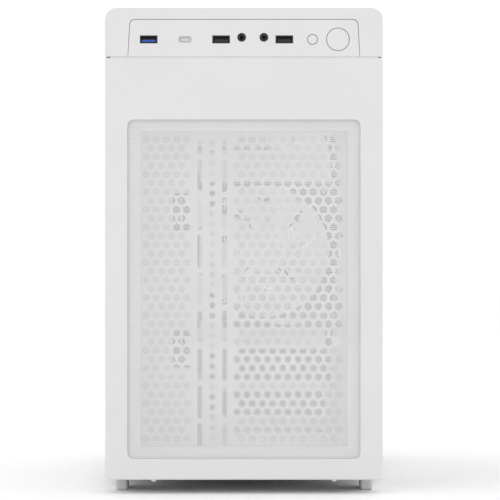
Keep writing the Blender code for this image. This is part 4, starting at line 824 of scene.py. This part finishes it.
def motherboard():
    """The board with its slots, sockets, heatsinks, coils, capacitors and headers."""
    low, high = span("motherboard")
    face = BOARD_FACE
    rear, under = high.y, low.z
    columns = (low.y + 6, low.y + 120, rear - 6)
    drilled = [ring(y, z, 1.9, 14) for y in columns for z in (under + 6, under + 130)]
    made = Build()
    made.plate(rectangle(low.y, rear, under, high.z), drilled, low.x, face, "X")

    def on_face(y, z, height, size_y, size_z, slot, bevel=0.0):
        """A block standing on the board, its place counted from the board's lower rear corner."""
        y0, z0 = rear - y - size_y / 2, under + z - size_z / 2
        made.box((face, y0, z0), (face + height, y0 + size_y, z0 + size_z), slot, bevel)

    # The processor socket, the memory slots with their latches, and the two card slots
    on_face(88, 75, 3.6, 52, 58, 2, 0.6)
    on_face(88, 75, 6.0, 38, 38, 1, 0.4)
    for number in (1, 2):
        module_low, module_high = span(f"memory_module_{number}")
        y = (module_low.y + module_high.y) / 2
        made.box((face, y - 3.4, module_low.z - 4), (module_low.x - 0.3, y + 3.4, module_high.z + 4), 1, 0.5)
        for z in (module_low.z - 6.5, module_high.z + 1.5):
            made.box((face, y - 2.6, z), (face + 13, y + 2.6, z + 5), 3, 0.6)
    card_low, _ = span("graphics_card")
    for z in (card_low.z + 7.0, card_low.z + 47.6):
        made.box((face, rear - 139, z - 3.4), (face + 8, rear - 50, z + 3.4), 1, 0.6)
        made.box((face + 7.9, rear - 137, z - 0.9), (face + 8.05, rear - 52, z + 0.9), 4)
        made.box((face, rear - 145, z - 3.0), (face + 6, rear - 139.5, z + 3.0), 3, 0.5)
    made.box((face, low.y + 1, HEADER - 26), (face + 9, low.y + 12, HEADER + 26), 1, 0.5)
    for y, z in header_pins(low):
        made.box((face + 8.9, y - 1.5, z - 1.5), (face + 9.05, y + 1.5, z + 1.5), 5)
    # Coils, capacitors and the heatsinks round the socket
    for index in range(9):
        on_face(34, 60 + index * 7.5, 6.0, 6.2, 6.2, 5, 0.5)
    for index in range(7):
        on_face(64 + index * 8.0, 19, 6.0, 6.4, 6.4, 5, 0.5)
    for number in range(10):
        y, z = rear - 45, under + 50 + number * 8.0
        made.rod((face, y, z), (face + 8, y, z), 2.9, 2, 16)
        made.rod((face + 7.9, y, z), (face + 8.1, y, z), 2.2, 1, 16)
    for number in range(6):
        y, z = low.y + 12 + number * 7.0, under + 24
        made.rod((face, y, z), (face + 9, y, z), 3.1, 2, 16)
    sinks = ((20, 100, 22.0, 15, 92, 7), (96, 9, 18.0, 78, 13, 7))
    for y, z, height, size_y, size_z, grooves in sinks:
        on_face(y, z, height * 0.45, size_y, size_z, 3, 0.8)
        longest = max(size_y, size_z)
        for number in range(grooves):
            share = (number + 0.5) / grooves - 0.5
            if size_z == longest:
                on_face(y, z + share * size_z, height, size_y, size_z / grooves * 0.7, 3, 0.6)
            else:
                on_face(y + share * size_y, z, height, size_y / grooves * 0.7, size_z, 3, 0.6)
    # The lower heatsinks, the drive sockets and the small headers along the lower edge
    on_face(205, 205, 6.0, 44, 44, 3, 1.2)
    for number in range(5):
        on_face(205, 190 + number * 7.5, 6.8, 36, 2.2, 3, 0.4)
    on_face(112, 156, 5.5, 84, 20, 3, 1.0)
    for number in range(9):
        on_face(76 + number * 9.0, 156, 6.2, 3.0, 17, 3, 0.4)
    for z in (148, 160, 172, 184):
        on_face(236, z, 7.5, 13, 9, 1, 0.5)
    for y in (150, 166, 182, 198, 214):
        on_face(y, 236, 6.5, 11, 5, 1, 0.3)
        for pin in range(8):
            on_face(y - 4.2 + pin % 4 * 2.8, 234.8 + pin // 4 * 2.5, 8.5, 0.6, 0.6, 4)
    # Small parts and chips in scattered places, then the board's screws
    for number in range(44):
        y = 140 + number * 37 % 92
        z = 100 + number * 53 % 44
        on_face(y, z, 0.8 + number % 3 * 0.3, 2.0 + number % 4, 1.4 + number % 3, (1, 5, 2)[number % 3])
    for y, z, size in ((168, 128, 9.0), (150, 196, 7.0), (60, 214, 11.0), (232, 120, 8.0), (186, 172, 6.0)):
        on_face(y, z, 1.2, size, size, 1, 0.2)
    for y, z in ((6, 114), (120, 114), (6, 238), (120, 238), (238, 6), (238, 114)):
        made.turned((face, rear - y, under + z), (1, 0, 0), [(3.2, 0.0), (3.2, 0.8), (2.2, 1.7)], 2, 20)
    paints = [BOARD, BLACK, PLATED, WHITE, GOLD, GREY]
    made.finish("motherboard_populated", paints, "circuit_board", "motherboard")


def memory(number):
    """A module: the board strip with its contacts, and two folded heat spreaders with a stepped top."""
    node = f"memory_module_{number}"
    low, high = span(node)
    middle = (low.y + high.y) / 2
    made = Build().box((low.x, middle - 0.6, low.z), (high.x - 2, middle + 0.6, high.z), 1)
    length = high.z - low.z
    top = high.x
    steps = [(0, 4), (12, 4), (18, 0), (length / 2 - 22, 0), (length / 2 - 16, 5)]
    profile = [(z + low.z, top - drop) for z, drop in steps]
    profile += [(2 * low.z + length - z, x) for z, x in reversed(profile)]
    outline = [(low.x + 5.0, high.z), (low.x + 5.0, low.z)] + [(x, z) for z, x in profile]
    for side in (-1, 1):
        near, far = sorted((middle + side * 0.9, middle + side * 3.4))
        made.plate(outline, [], near, far, "Y", 0, 0.4)
        for rib in range(5):
            z = low.z + length * (rib + 1) / 6
            face = middle + side * 3.4
            y0, y1 = sorted((face - side * 0.2, face + side * 0.1))
            made.box((low.x + 9, y0, z - 5.5), (high.x - 9, y1, z + 5.5), 2, 0.05)
    for contact in range(60):
        z = low.z + 3 + contact * (length - 6) / 60
        made.box((low.x, middle - 0.66, z), (low.x + 3.4, middle + 0.66, z + 1.3), 3)
    made.finish(f"{node}_spreaders", [WHITE, BOARD, WHITE_LIGHT, GOLD], "white_steel", node)


def cooler():
    """A stack of thin fins on four pipes that rise from a base plate, under a plain cover plate."""
    low, high = span("cooler_heatsink")
    fan_low, _ = span("cooler_fan_frame")
    first = fan_low.x + 12.0
    made = Build()
    y, z = (low.y + high.y) / 2, (low.z + high.z) / 2
    notch, corner = 6.0, 4.0
    outline = [(high.y, high.z - corner), (high.y - corner, high.z), (y + notch, high.z), (y, high.z - notch)]
    outline += [(y - notch, high.z), (low.y + corner, high.z), (low.y, high.z - corner)]
    outline += [(across, 2 * z - up) for across, up in reversed(outline)]
    fins = 40
    pitch = (high.x - 2.0 - first) / fins
    places = [(y + across, z + up) for across in (-10, 10) for up in (-26, 26)]
    for number in range(fins):
        x = first + number * pitch
        made.plate(outline, [], x, x + 0.45, "X")
        for tab in (y - 17, y + 17):
            for edge in (high.z - 0.4, low.z):
                made.box((x, tab - 3, edge), (x + pitch, tab + 3, edge + 0.4))
    made.plate(outline, [], high.x - 1.6, high.x, "X", 1, 0.3)
    for across, up in places:
        made.rod((low.x + 4, across, up), (high.x - 0.6, across, up), 3.0, 2, 20)
        made.rod((high.x - 0.6, across, up), (high.x + 1.4, across, up), 3.0, 2, 20, 1.2)
    made.box((low.x, y - 20, z - 34), (low.x + 9, y + 20, z + 34), 3, 0.8, 2)
    made.box((low.x + 9, y - 6, z - 40), (low.x + 11, y + 6, z + 40), 3, 0.5)
    for up in (-37, 37):
        made.turned((low.x + 11, y, z + up), (1, 0, 0), [(3.4, 0.0), (3.4, 3.0), (2.4, 4.0)], 3, 20)
    for wire in (z - 58.0, z + 58.0):
        for x in (first + 4, high.x - 6):
            made.rod((x, low.y - 20, wire), (x, y + 6, wire), 0.7, 3, 8)
    made.finish("cooler_fin_stack", [ALUMINIUM, WHITE, NICKEL, METAL], "bare_metal", "cooler_heatsink")


def graphics_card():
    """The card's board with its backplate and gold edge, the vented bracket, and the fin stack."""
    low, high = span("graphics_card")
    sink_low, sink_high = span("card_heatsink")
    shroud_low, shroud_high = span("card_shroud")
    board_top = sink_low.z - 0.3
    edge = shroud_low.x - 2.0
    made = Build()
    made.box((edge, low.y, board_top - 1.6), (shroud_high.x, high.y - 1.0, board_top), 0, 0.2)
    backplate = (shroud_high.x - 1, high.y - 4.0, board_top - 1.7)
    made.box((edge + 3, low.y + 1, board_top - 3.0), backplate, 1, 0.4)
    for number in range(12):
        y = low.y + 30 + number * 14.0
        made.box((edge + 30, y, board_top - 3.1), (shroud_high.x - 20, y + 4.0, board_top - 2.9), 2)
    made.box((BOARD_FACE + 2.0, high.y - 141, board_top - 1.6), (edge + 0.5, high.y - 55, board_top))
    for number in range(56):
        y = high.y - 139 + number * 1.5
        made.box((BOARD_FACE + 3.0, y, board_top - 1.65), (edge, y + 0.9, board_top + 0.05), 3)
    plug = (shroud_high.x, low.y + 42, board_top + 11)
    made.box((shroud_high.x - 16, low.y + 22, board_top - 0.2), plug, 2, 0.4)
    for number in range(8):
        y, z = low.y + 25.4 + number % 4 * 4.4, board_top + 3.2 + number // 4 * 4.4
        made.box((shroud_high.x - 0.2, y - 1.5, z - 1.5), (shroud_high.x + 0.05, y + 1.5, z + 1.5), 4)
    for number in range(14):
        x = edge + 8 + number * 37 % 84
        y = low.y + 6 + number * 23 % 34
        chip = (x + 5, y + 5, board_top + 2.0 + number % 3)
        made.box((x, y, board_top - 0.1), chip, (2, 4, 5)[number % 3], 0.3)
    first = low.x + 16.0
    sockets = [first + k * 22 for k in range(4)]
    holes = [rounded(x, x + 17, low.z + 4.0, low.z + 10.0, 0.8, 2) for x in sockets]
    holes += hexagons(first, high.x - 14, low.z + 19, high.z - 5, 4.6, 1.8)
    made.plate(inset(low, high), holes, high.y - 1.0, high.y, "Y", 5, 0.1)
    made.box((high.x - 1.0, high.y - 10.0, low.z), (high.x, high.y, high.z), 5)
    for x in sockets:
        made.box((x + 0.5, high.y - 14, low.z + 4.4), (x + 16.5, high.y - 1.2, low.z + 9.6), 2)
        made.box((x + 3, high.y - 1.6, low.z + 6.4), (x + 14, high.y - 0.9, low.z + 7.6), 4)
    paints = [BOARD, WHITE, BLACK, GOLD, GREY, PLATED]
    made.finish("graphics_card_board", paints, "bare_metal", "graphics_card")

    fins = Build().box(sink_low, (sink_high.x, sink_high.y, sink_low.z + 3), 0, 0.3)
    count = 66
    pitch = (sink_high.y - sink_low.y) / count
    for number in range(count):
        y = sink_low.y + number * pitch
        fins.box((sink_low.x, y, sink_low.z + 2.9), (sink_high.x, y + 0.5, sink_low.z + 18.0))
    for across in (22, 40, 58, 76):
        x, z = sink_low.x + across, sink_low.z + 8
        fins.rod((x, sink_low.y - 2, z), (x, sink_high.y - 1, z), 3.0, 1, 16)
    centres = [joint_centre(f"card_fan_spinner_{number}") for number in (1, 2)]
    for centre in centres:
        fins.rod((centre.x, centre.y, sink_low.z + 16), (centre.x, centre.y, sink_high.z - 0.1), 9.0, 2, 32)
    fins.finish("card_fin_stack", [ALUMINIUM, NICKEL, BLACK], "bare_metal", "card_heatsink")

    cover = Build()
    outline = rounded(shroud_low.x, shroud_high.x, shroud_low.y, shroud_high.y, 7.0, 6)
    wells = [ring(centre.x, centre.y, 44.0, 72) for centre in centres]
    lip = [(44.0, 0.0), (45.2, 0.0), (45.2, 0.5), (44.6, 0.9), (44.0, 0.9)]
    for centre in centres:
        cover.turned((centre.x, centre.y, shroud_high.z - 0.9), (0, 0, 1), lip, 0, 72, hollow=True)
    cover.plate(outline, wells, shroud_low.z, shroud_high.z - 0.6, "Z", 0, 0.9)
    middle = (shroud_low.y + shroud_high.y) / 2
    for x in (shroud_low.x + 5, shroud_high.x - 21):
        bar = rectangle(x, x + 16, middle - 26, middle + 26)
        cover.plate(bar, [], shroud_high.z - 1.0, shroud_high.z, "Z", 1, 0.4)
    for x in (shroud_low.x + 6, shroud_high.x - 6):
        for y in (shroud_low.y + 6, shroud_high.y - 6):
            cover.turned((x, y, shroud_high.z - 0.7), (0, 0, 1), [(2.2, 0.0), (2.2, 0.5), (1.2, 0.7)], 2, 16)
    cover.finish("card_shroud_cover", [WHITE, GREY, PLATED], "black_plastic", "card_shroud")


# ---------------------------------------------------------------- back

def rear_plate():
    """The back of the chassis: its openings, the honeycomb before the fan, vents, rivets and screws."""
    low, high = span("rear_plate")
    shoulder = span("motherboard_tray")[1].z
    supply_low, supply_high = span("power_supply")
    io_low, io_high = span("rear_ports")
    holes = [
        inset(supply_low, supply_high, 2.5),
        rectangle(BOARD_FACE, io_high.x + 0.3, io_low.z - 0.3, io_high.z + 0.3),
    ]
    slot_pitch = 20.32
    brackets = [span("graphics_card")[0].z + 9.2 + number * slot_pitch for number in range(4)]
    holes += [rectangle(BOARD_FACE + 4, BOARD_FACE + 112, z - 7, z + 7) for z in brackets]
    fan_low, fan_high = span("rear_fan_frame")
    x, z = (fan_low.x + fan_high.x) / 2, (fan_low.z + fan_high.z) / 2
    holes += hexagons(x - 56, x + 56, z - 56, z + 56, 6.2, 2.75, lambda a, b: math.hypot(a - x, b - z) < 54)
    corners = [(x + a, z + b) for a in (-FAN_SCREW, FAN_SCREW) for b in (-FAN_SCREW, FAN_SCREW)]
    holes += hexagons(50.0, 92.0, brackets[1] - 4, brackets[3] + 6, 6.2, 2.3)
    holes += side_holes(SCREW_X, SCREW_HEIGHTS, SCREW_HOLE, 14)
    sheet = Build().plate(end_plate(low, high), holes, low.y, high.y)
    for a, b in corners:
        sheet.turned((a, high.y, b), (0, 1, 0), [(3.6, 0.0), (3.4, 0.7), (2.2, 1.3)], 1, 20)
    for a in (supply_low.x + 6, supply_high.x - 6):
        for b in (supply_low.z + 6, supply_high.z - 6):
            sheet.turned((a, high.y - 0.4, b), (0, 1, 0), [(3.8, 0.0), (3.8, 0.8), (2.6, 1.7)], 1, 6)
    for a in (-96.0, 96.0):
        for b in (low.z + 8, low.z + 120, low.z + 220, shoulder - 12):
            sheet.turned((a, high.y, b), (0, 1, 0), [(2.2, 0.0), (1.8, 0.4), (0.8, 0.6)], 0, 16)
    sheet.box((-60.0, high.y - 0.2, high.z - 7.0), (60.0, high.y + 0.2, high.z - 2.0), 0, 0.15)
    sheet.finish("rear_plate_steel", [STEEL, PLATED], "white_steel", "rear_plate")


def slot_cover(number):
    """A vented slot cover with its folded tab and screw."""
    node = f"slot_cover_{number}"
    low, high = span(node)
    z = (low.z + high.z) / 2
    slots = [rounded(low.x + 12 + k * 12, low.x + 20 + k * 12, z - 1.4, z + 1.4, 1.39, 4) for k in range(8)]
    made = Build().plate(inset(low, high), slots, high.y - 1.0, high.y, bevel=0.1)
    made.box((high.x - 1.0, low.y, low.z), high)
    made.turned((high.x, low.y + 4, z), (1, 0, 0), [(3.4, 0.0), (3.4, 1.2), (2.4, 2.2)], 1, 6)
    made.finish(f"{node}_vented", [STEEL, PLATED], "white_steel", node)


def rear_port_inserts():
    """What lies inside the shield's openings: shells, tongues, contacts and coloured jack collars."""
    repaint("rear_ports", METAL)
    low, high = span("rear_ports")
    base = low.z - 0.3
    made = Build()

    def throat(rise, tall, across, wide):
        """A plated shell with a black bottom, its place counted from the shield's lower corner."""
        x, z = BOARD_FACE + across, base + rise
        inner, outer = (rectangle(x + by, x + wide - by, z + by, z + tall - by) for by in (0.7, 0.1))
        made.plate(outer, [inner], REAR_Y - 9, high.y - 0.1)
        made.box((x + 0.2, REAR_Y - 10.9, z + 0.2), (x + wide - 0.2, REAR_Y - 9, z + tall - 0.2), 1)
        return x, z

    blue = (58.0, 102.0)
    for rise in (12.0, 58.0, 102.0):
        for across in (3.0, 14.0):
            x, z = throat(rise, 14.0, across, 7.0)
            tongue = 2 if rise in blue else 1
            made.box((x + 1.4, REAR_Y - 9, z + 1.6), (x + 3.3, high.y - 1.2, z + 12.4), tongue, 0.15)
            for pin in range(4):
                up = z + 2.6 + pin * 2.5
                made.box((x + 3.2, REAR_Y - 7, up), (x + 3.4, high.y - 2, up + 1.0), 3)
    x, z = throat(34.0, 14.0, 14.0, 7.0)
    made.box((x + 1.4, REAR_Y - 9, z + 1.6), (x + 3.3, high.y - 1.2, z + 12.4), 2, 0.15)
    x, z = throat(34.0, 16.0, 3.0, 5.5)
    made.box((x + 2.2, REAR_Y - 9, z + 3.0), (x + 3.4, high.y - 1.2, z + 13.0), 1, 0.1)
    x, z = throat(80.0, 14.0, 3.0, 12.0)
    for pin in range(8):
        made.box((x + 1.4, REAR_Y - 8, z + 3.0 + pin), (x + 1.8, high.y - 2, z + 3.4 + pin), 3)
    made.box((x + 9.6, REAR_Y - 9, z + 4.0), (x + 11.0, high.y - 1.5, z + 10.0), 1, 0.2)
    for rise, slot in ((124.0, 4), (136.0, 5)):
        x, z = BOARD_FACE + 7.5, base + rise + 3.5
        collar = [(1.8, 0.0), (3.3, 0.0), (3.3, 10.5), (2.9, 11.2), (2.1, 11.2), (1.8, 10.8)]
        made.turned((x, REAR_Y - 10.6, z), (0, 1, 0), collar, slot, 32, hollow=True)
        made.rod((x, REAR_Y - 10.8, z), (x, REAR_Y - 9.5, z), 2.5, 1, 24)
    pressing = rounded(low.x + 3, high.x - 3, high.z - 14, high.z - 3, 1.5)
    made.plate(pressing, [], high.y - 0.2, high.y + 0.15, bevel=0.1)
    paints = [PLATED, BLACK_FINE, BLUE, GOLD, LIME, PINK]
    made.finish("rear_port_inserts", paints, "bare_metal")


def power_supply():
    """Materials of the supply and its inlet, plated inlet pins, and eased edges on the rocker and the inlet.
    """
    for node, paint in (("power_supply", BLACK_STEEL), ("power_inlet", BLACK), ("power_rocker", BLACK)):
        repaint(node, paint)
    low, high = span("power_inlet")
    x, z = low.x + 5.0, low.z + 5.0
    pins = Build()
    for across, up in ((5.0, 4.5), (11.5, 10.5), (18.0, 4.5)):
        a, b = x + across, z + up
        pins.box((a - 1.15, high.y - 14.0, b - 2.15), (a + 1.15, high.y - 2.8, b + 2.15), 0, 0.3)
    pins.finish("inlet_pins", PLATED, "bare_metal")
    ease("power_rocker", 0.9, 3)
    ease("power_inlet", 0.4, 2)
    supply_low, supply_high = span("power_supply")
    case = Build()
    for y in (supply_low.y + 10, supply_high.y - 10):
        for z in (supply_low.z + 10, supply_high.z - 10):
            for side, x in ((-1, supply_low.x), (1, supply_high.x)):
                case.turned((x, y, z), (side, 0, 0), [(3.0, -0.2), (3.0, 0.5), (2.0, 1.0)], 0, 18)
    fan = joint_centre("supply_fan_spinner")
    for number in range(5):
        radius = 12.0 + number * 10.5
        guard = [(radius - 0.8, 0.0), (radius + 0.8, 0.0), (radius + 0.8, 0.9), (radius - 0.8, 0.9)]
        case.turned((fan.x, fan.y, supply_low.z + 0.1), (0, 0, 1), guard, 1, 64, hollow=True)
    case.finish("power_supply_trim", [PLATED, BLACK_STEEL], "black_steel")


def thumbscrew(node, body):
    """A knurled thumbscrew with a turned rim, a cross slot and its threaded shank."""
    low, high = span(node)
    x, z = (low.x + high.x) / 2, (low.z + high.z) / 2
    radius = (high.x - low.x) / 2
    start = high.y - 7.4
    made = Build()
    collar = [(radius - 0.9, 0.0), (radius - 0.3, 0.6), (radius - 0.3, 1.4)]
    made.turned((x, start, z), (0, 1, 0), collar, 0, 48)
    grip = [(radius - 0.5, 1.3), (radius, 1.7), (radius, 6.2), (radius - 0.6, 6.9)]
    made.turned((x, start, z), (0, 1, 0), grip, 0, 72, knurl=0.28)
    crown = [(radius - 1.2, 6.8), (radius - 1.2, 7.0), (radius - 1.8, 7.25), (radius - 2.2, 7.25)]
    made.turned((x, start, z), (0, 1, 0), crown, 0, 48)
    for turn in (0, 90):
        made.box((x - 2.6, high.y - 0.16, z - 0.5), (x + 2.6, high.y - 0.05, z + 0.5), 1,
                 turn=Matrix.Rotation(math.radians(turn), 4, "Y"))
    thread = [(1.7 if step % 2 else 1.35, step * 0.35 - 6.9) for step in range(20)]
    made.turned((x, start, z), (0, 1, 0), thread, 0, 20)
    made.finish(f"{node}_knurled", [PLATED, BLACK_STEEL], "bare_metal", node, body=body, sharp=50.0)


# ---------------------------------------------------------------- panels, filters, cables

def filter_net(title, windows):
    """A dust filter: a black net in a thin magnetic border, which has one window or two."""
    node, body = f"{title}_filter", f"{title}_filter_body"
    low, high = span(node)
    border = Build()
    edge = 7.0
    ends = [low.y + edge, high.y - edge]
    if windows == 2:
        middle = (low.y + high.y) / 2
        ends[1:1] = [middle - 2, middle + 2]
    holes = [rounded(low.x + edge, high.x - edge, a, b, 3.0) for a, b in zip(ends[::2], ends[1::2])]
    border.plate(rounded(low.x, high.x, low.y, high.y, 3.0), holes, low.z, high.z, "Z", 0, 0.3)
    border.finish(f"{node}_border", BLACK, "black_plastic", node, body=body)
    at = (low.z + high.z) / 2
    data = net(f"{node}_net", (low.x, low.y), (high.x, high.y), "Z", 2.2, 1.5, edge - 1.0, 0.0, at)[0]
    piece(f"{node}_net", data, NET, body, "black_plastic", node)


def chassis_metal():
    """Powder coat on every sheet that keeps its own shape, a darker copy with painted shade on the inner
    sheets, bare folds eased.
    """
    for node in ("roof_plate", "steel_side_panel", "glass_frame", "base_pan"):
        repaint(node, STEEL)
    # The inner sheets get the darker copy of the powder coat, as painted shade.
    for node in ("motherboard_tray", "cable_bar", "psu_shroud", "drive_cage"):
        repaint(node, STEEL_SHADED)
    ease("roof_plate", 0.25, 1)
    ease("psu_shroud", 0.4)
    ease("steel_side_panel", 0.4)
    ease("glass_frame", 0.2, 1)
    repaint("glass_pane", GLASS)
    for end in ("front", "rear"):
        for side in ("left", "right"):
            repaint(f"foot_{end}_{side}", RUBBER)


def hard_drive():
    """A drive: the casting with its screw bosses, and the pressed lid with a raised field."""
    low, high = span("hard_drive")
    made = Build().box(low, (high.x, high.y, high.z - 1.5), 0, 1.2, 2)
    outline = rounded(low.x + 2, high.x - 2, low.y + 2, high.y - 2, 6.0)
    made.plate(outline, [], high.z - 1.6, high.z - 0.6, "Z", 1, 0.3)
    raised = rounded(low.x + 12, high.x - 12, low.y + 30, high.y - 14, 12.0, 8)
    made.plate(raised, [], high.z - 0.8, high.z, "Z", 1, 0.3)
    for x in (low.x + 6, high.x - 6):
        for y in (low.y + 6, (low.y + high.y) / 2, high.y - 6):
            made.turned((x, y, high.z - 0.7), (0, 0, 1), [(2.4, 0.0), (2.2, 0.4), (1.2, 0.6)], 2, 6)
    made.finish("hard_drive_casting", [METAL, PLATED, BLACK_STEEL], "bare_metal", "hard_drive")


def cable_grommets():
    """Black rubber round the two cable passages of the bar beside the tray."""
    face = span("cable_bar")[0].y
    middle = (PASSAGE_LEFT + PASSAGE_RIGHT) / 2
    made = Build()
    for bottom, top in PASSAGES:
        outer = rounded(PASSAGE_LEFT + 0.1, PASSAGE_RIGHT - 0.1, bottom + 0.1, top - 0.1, 4.0)
        slit = rounded(middle - 1.0, middle + 1.0, bottom + 4.0, top - 4.0, 0.9)
        made.plate(outer, [slit], face + 0.1, face + 0.9, bevel=0.2)
    made.finish("cable_grommets", BLACK, "rubber")


def cable_ends():
    """Braided sleeves on the captive cables, and the plug at the board end of the board power cable."""
    for node in ("board_power_cable", "card_power_cable", "front_panel_cable"):
        repaint(node, SLEEVE)
    plugs = Build()
    board_low, _ = span("motherboard")
    face = BOARD_FACE + 9.0
    shell = (face + 3.0, board_low.y + 11.6, HEADER + 25.4)
    plugs.box((face + 0.1, board_low.y + 1.4, HEADER - 25.4), shell, 0, 0.5)
    for y, z in header_pins(board_low):
        plugs.rod((face + 2.8, y, z), (face + 6.5, y, z), 1.1, 0, 10)
    plugs.finish("board_power_plug", BLACK, "black_plastic")


stage()
front_mesh()
front_plate()
front_trim()
usb_port("usb_port_left", BLUE)
usb_port("usb_port_middle", BLACK_FINE)
usb_port("usb_port_right", BLACK_FINE)
small_usb_port()
audio_jack("audio_jack_left")
audio_jack("audio_jack_right")
power_mark()
fans()
motherboard()
memory(1)
memory(2)
cooler()
graphics_card()
rear_plate()
slot_cover(1)
slot_cover(2)
rear_port_inserts()
power_supply()
for side, body in (("steel", "steel_door"), ("glass", "glass_door")):
    for level in ("lower", "upper"):
        thumbscrew(f"thumbscrew_{side}_{level}", body)
filter_net("top", 2)
filter_net("bottom", 1)
chassis_metal()
hard_drive()
cable_grommets()
cable_ends()
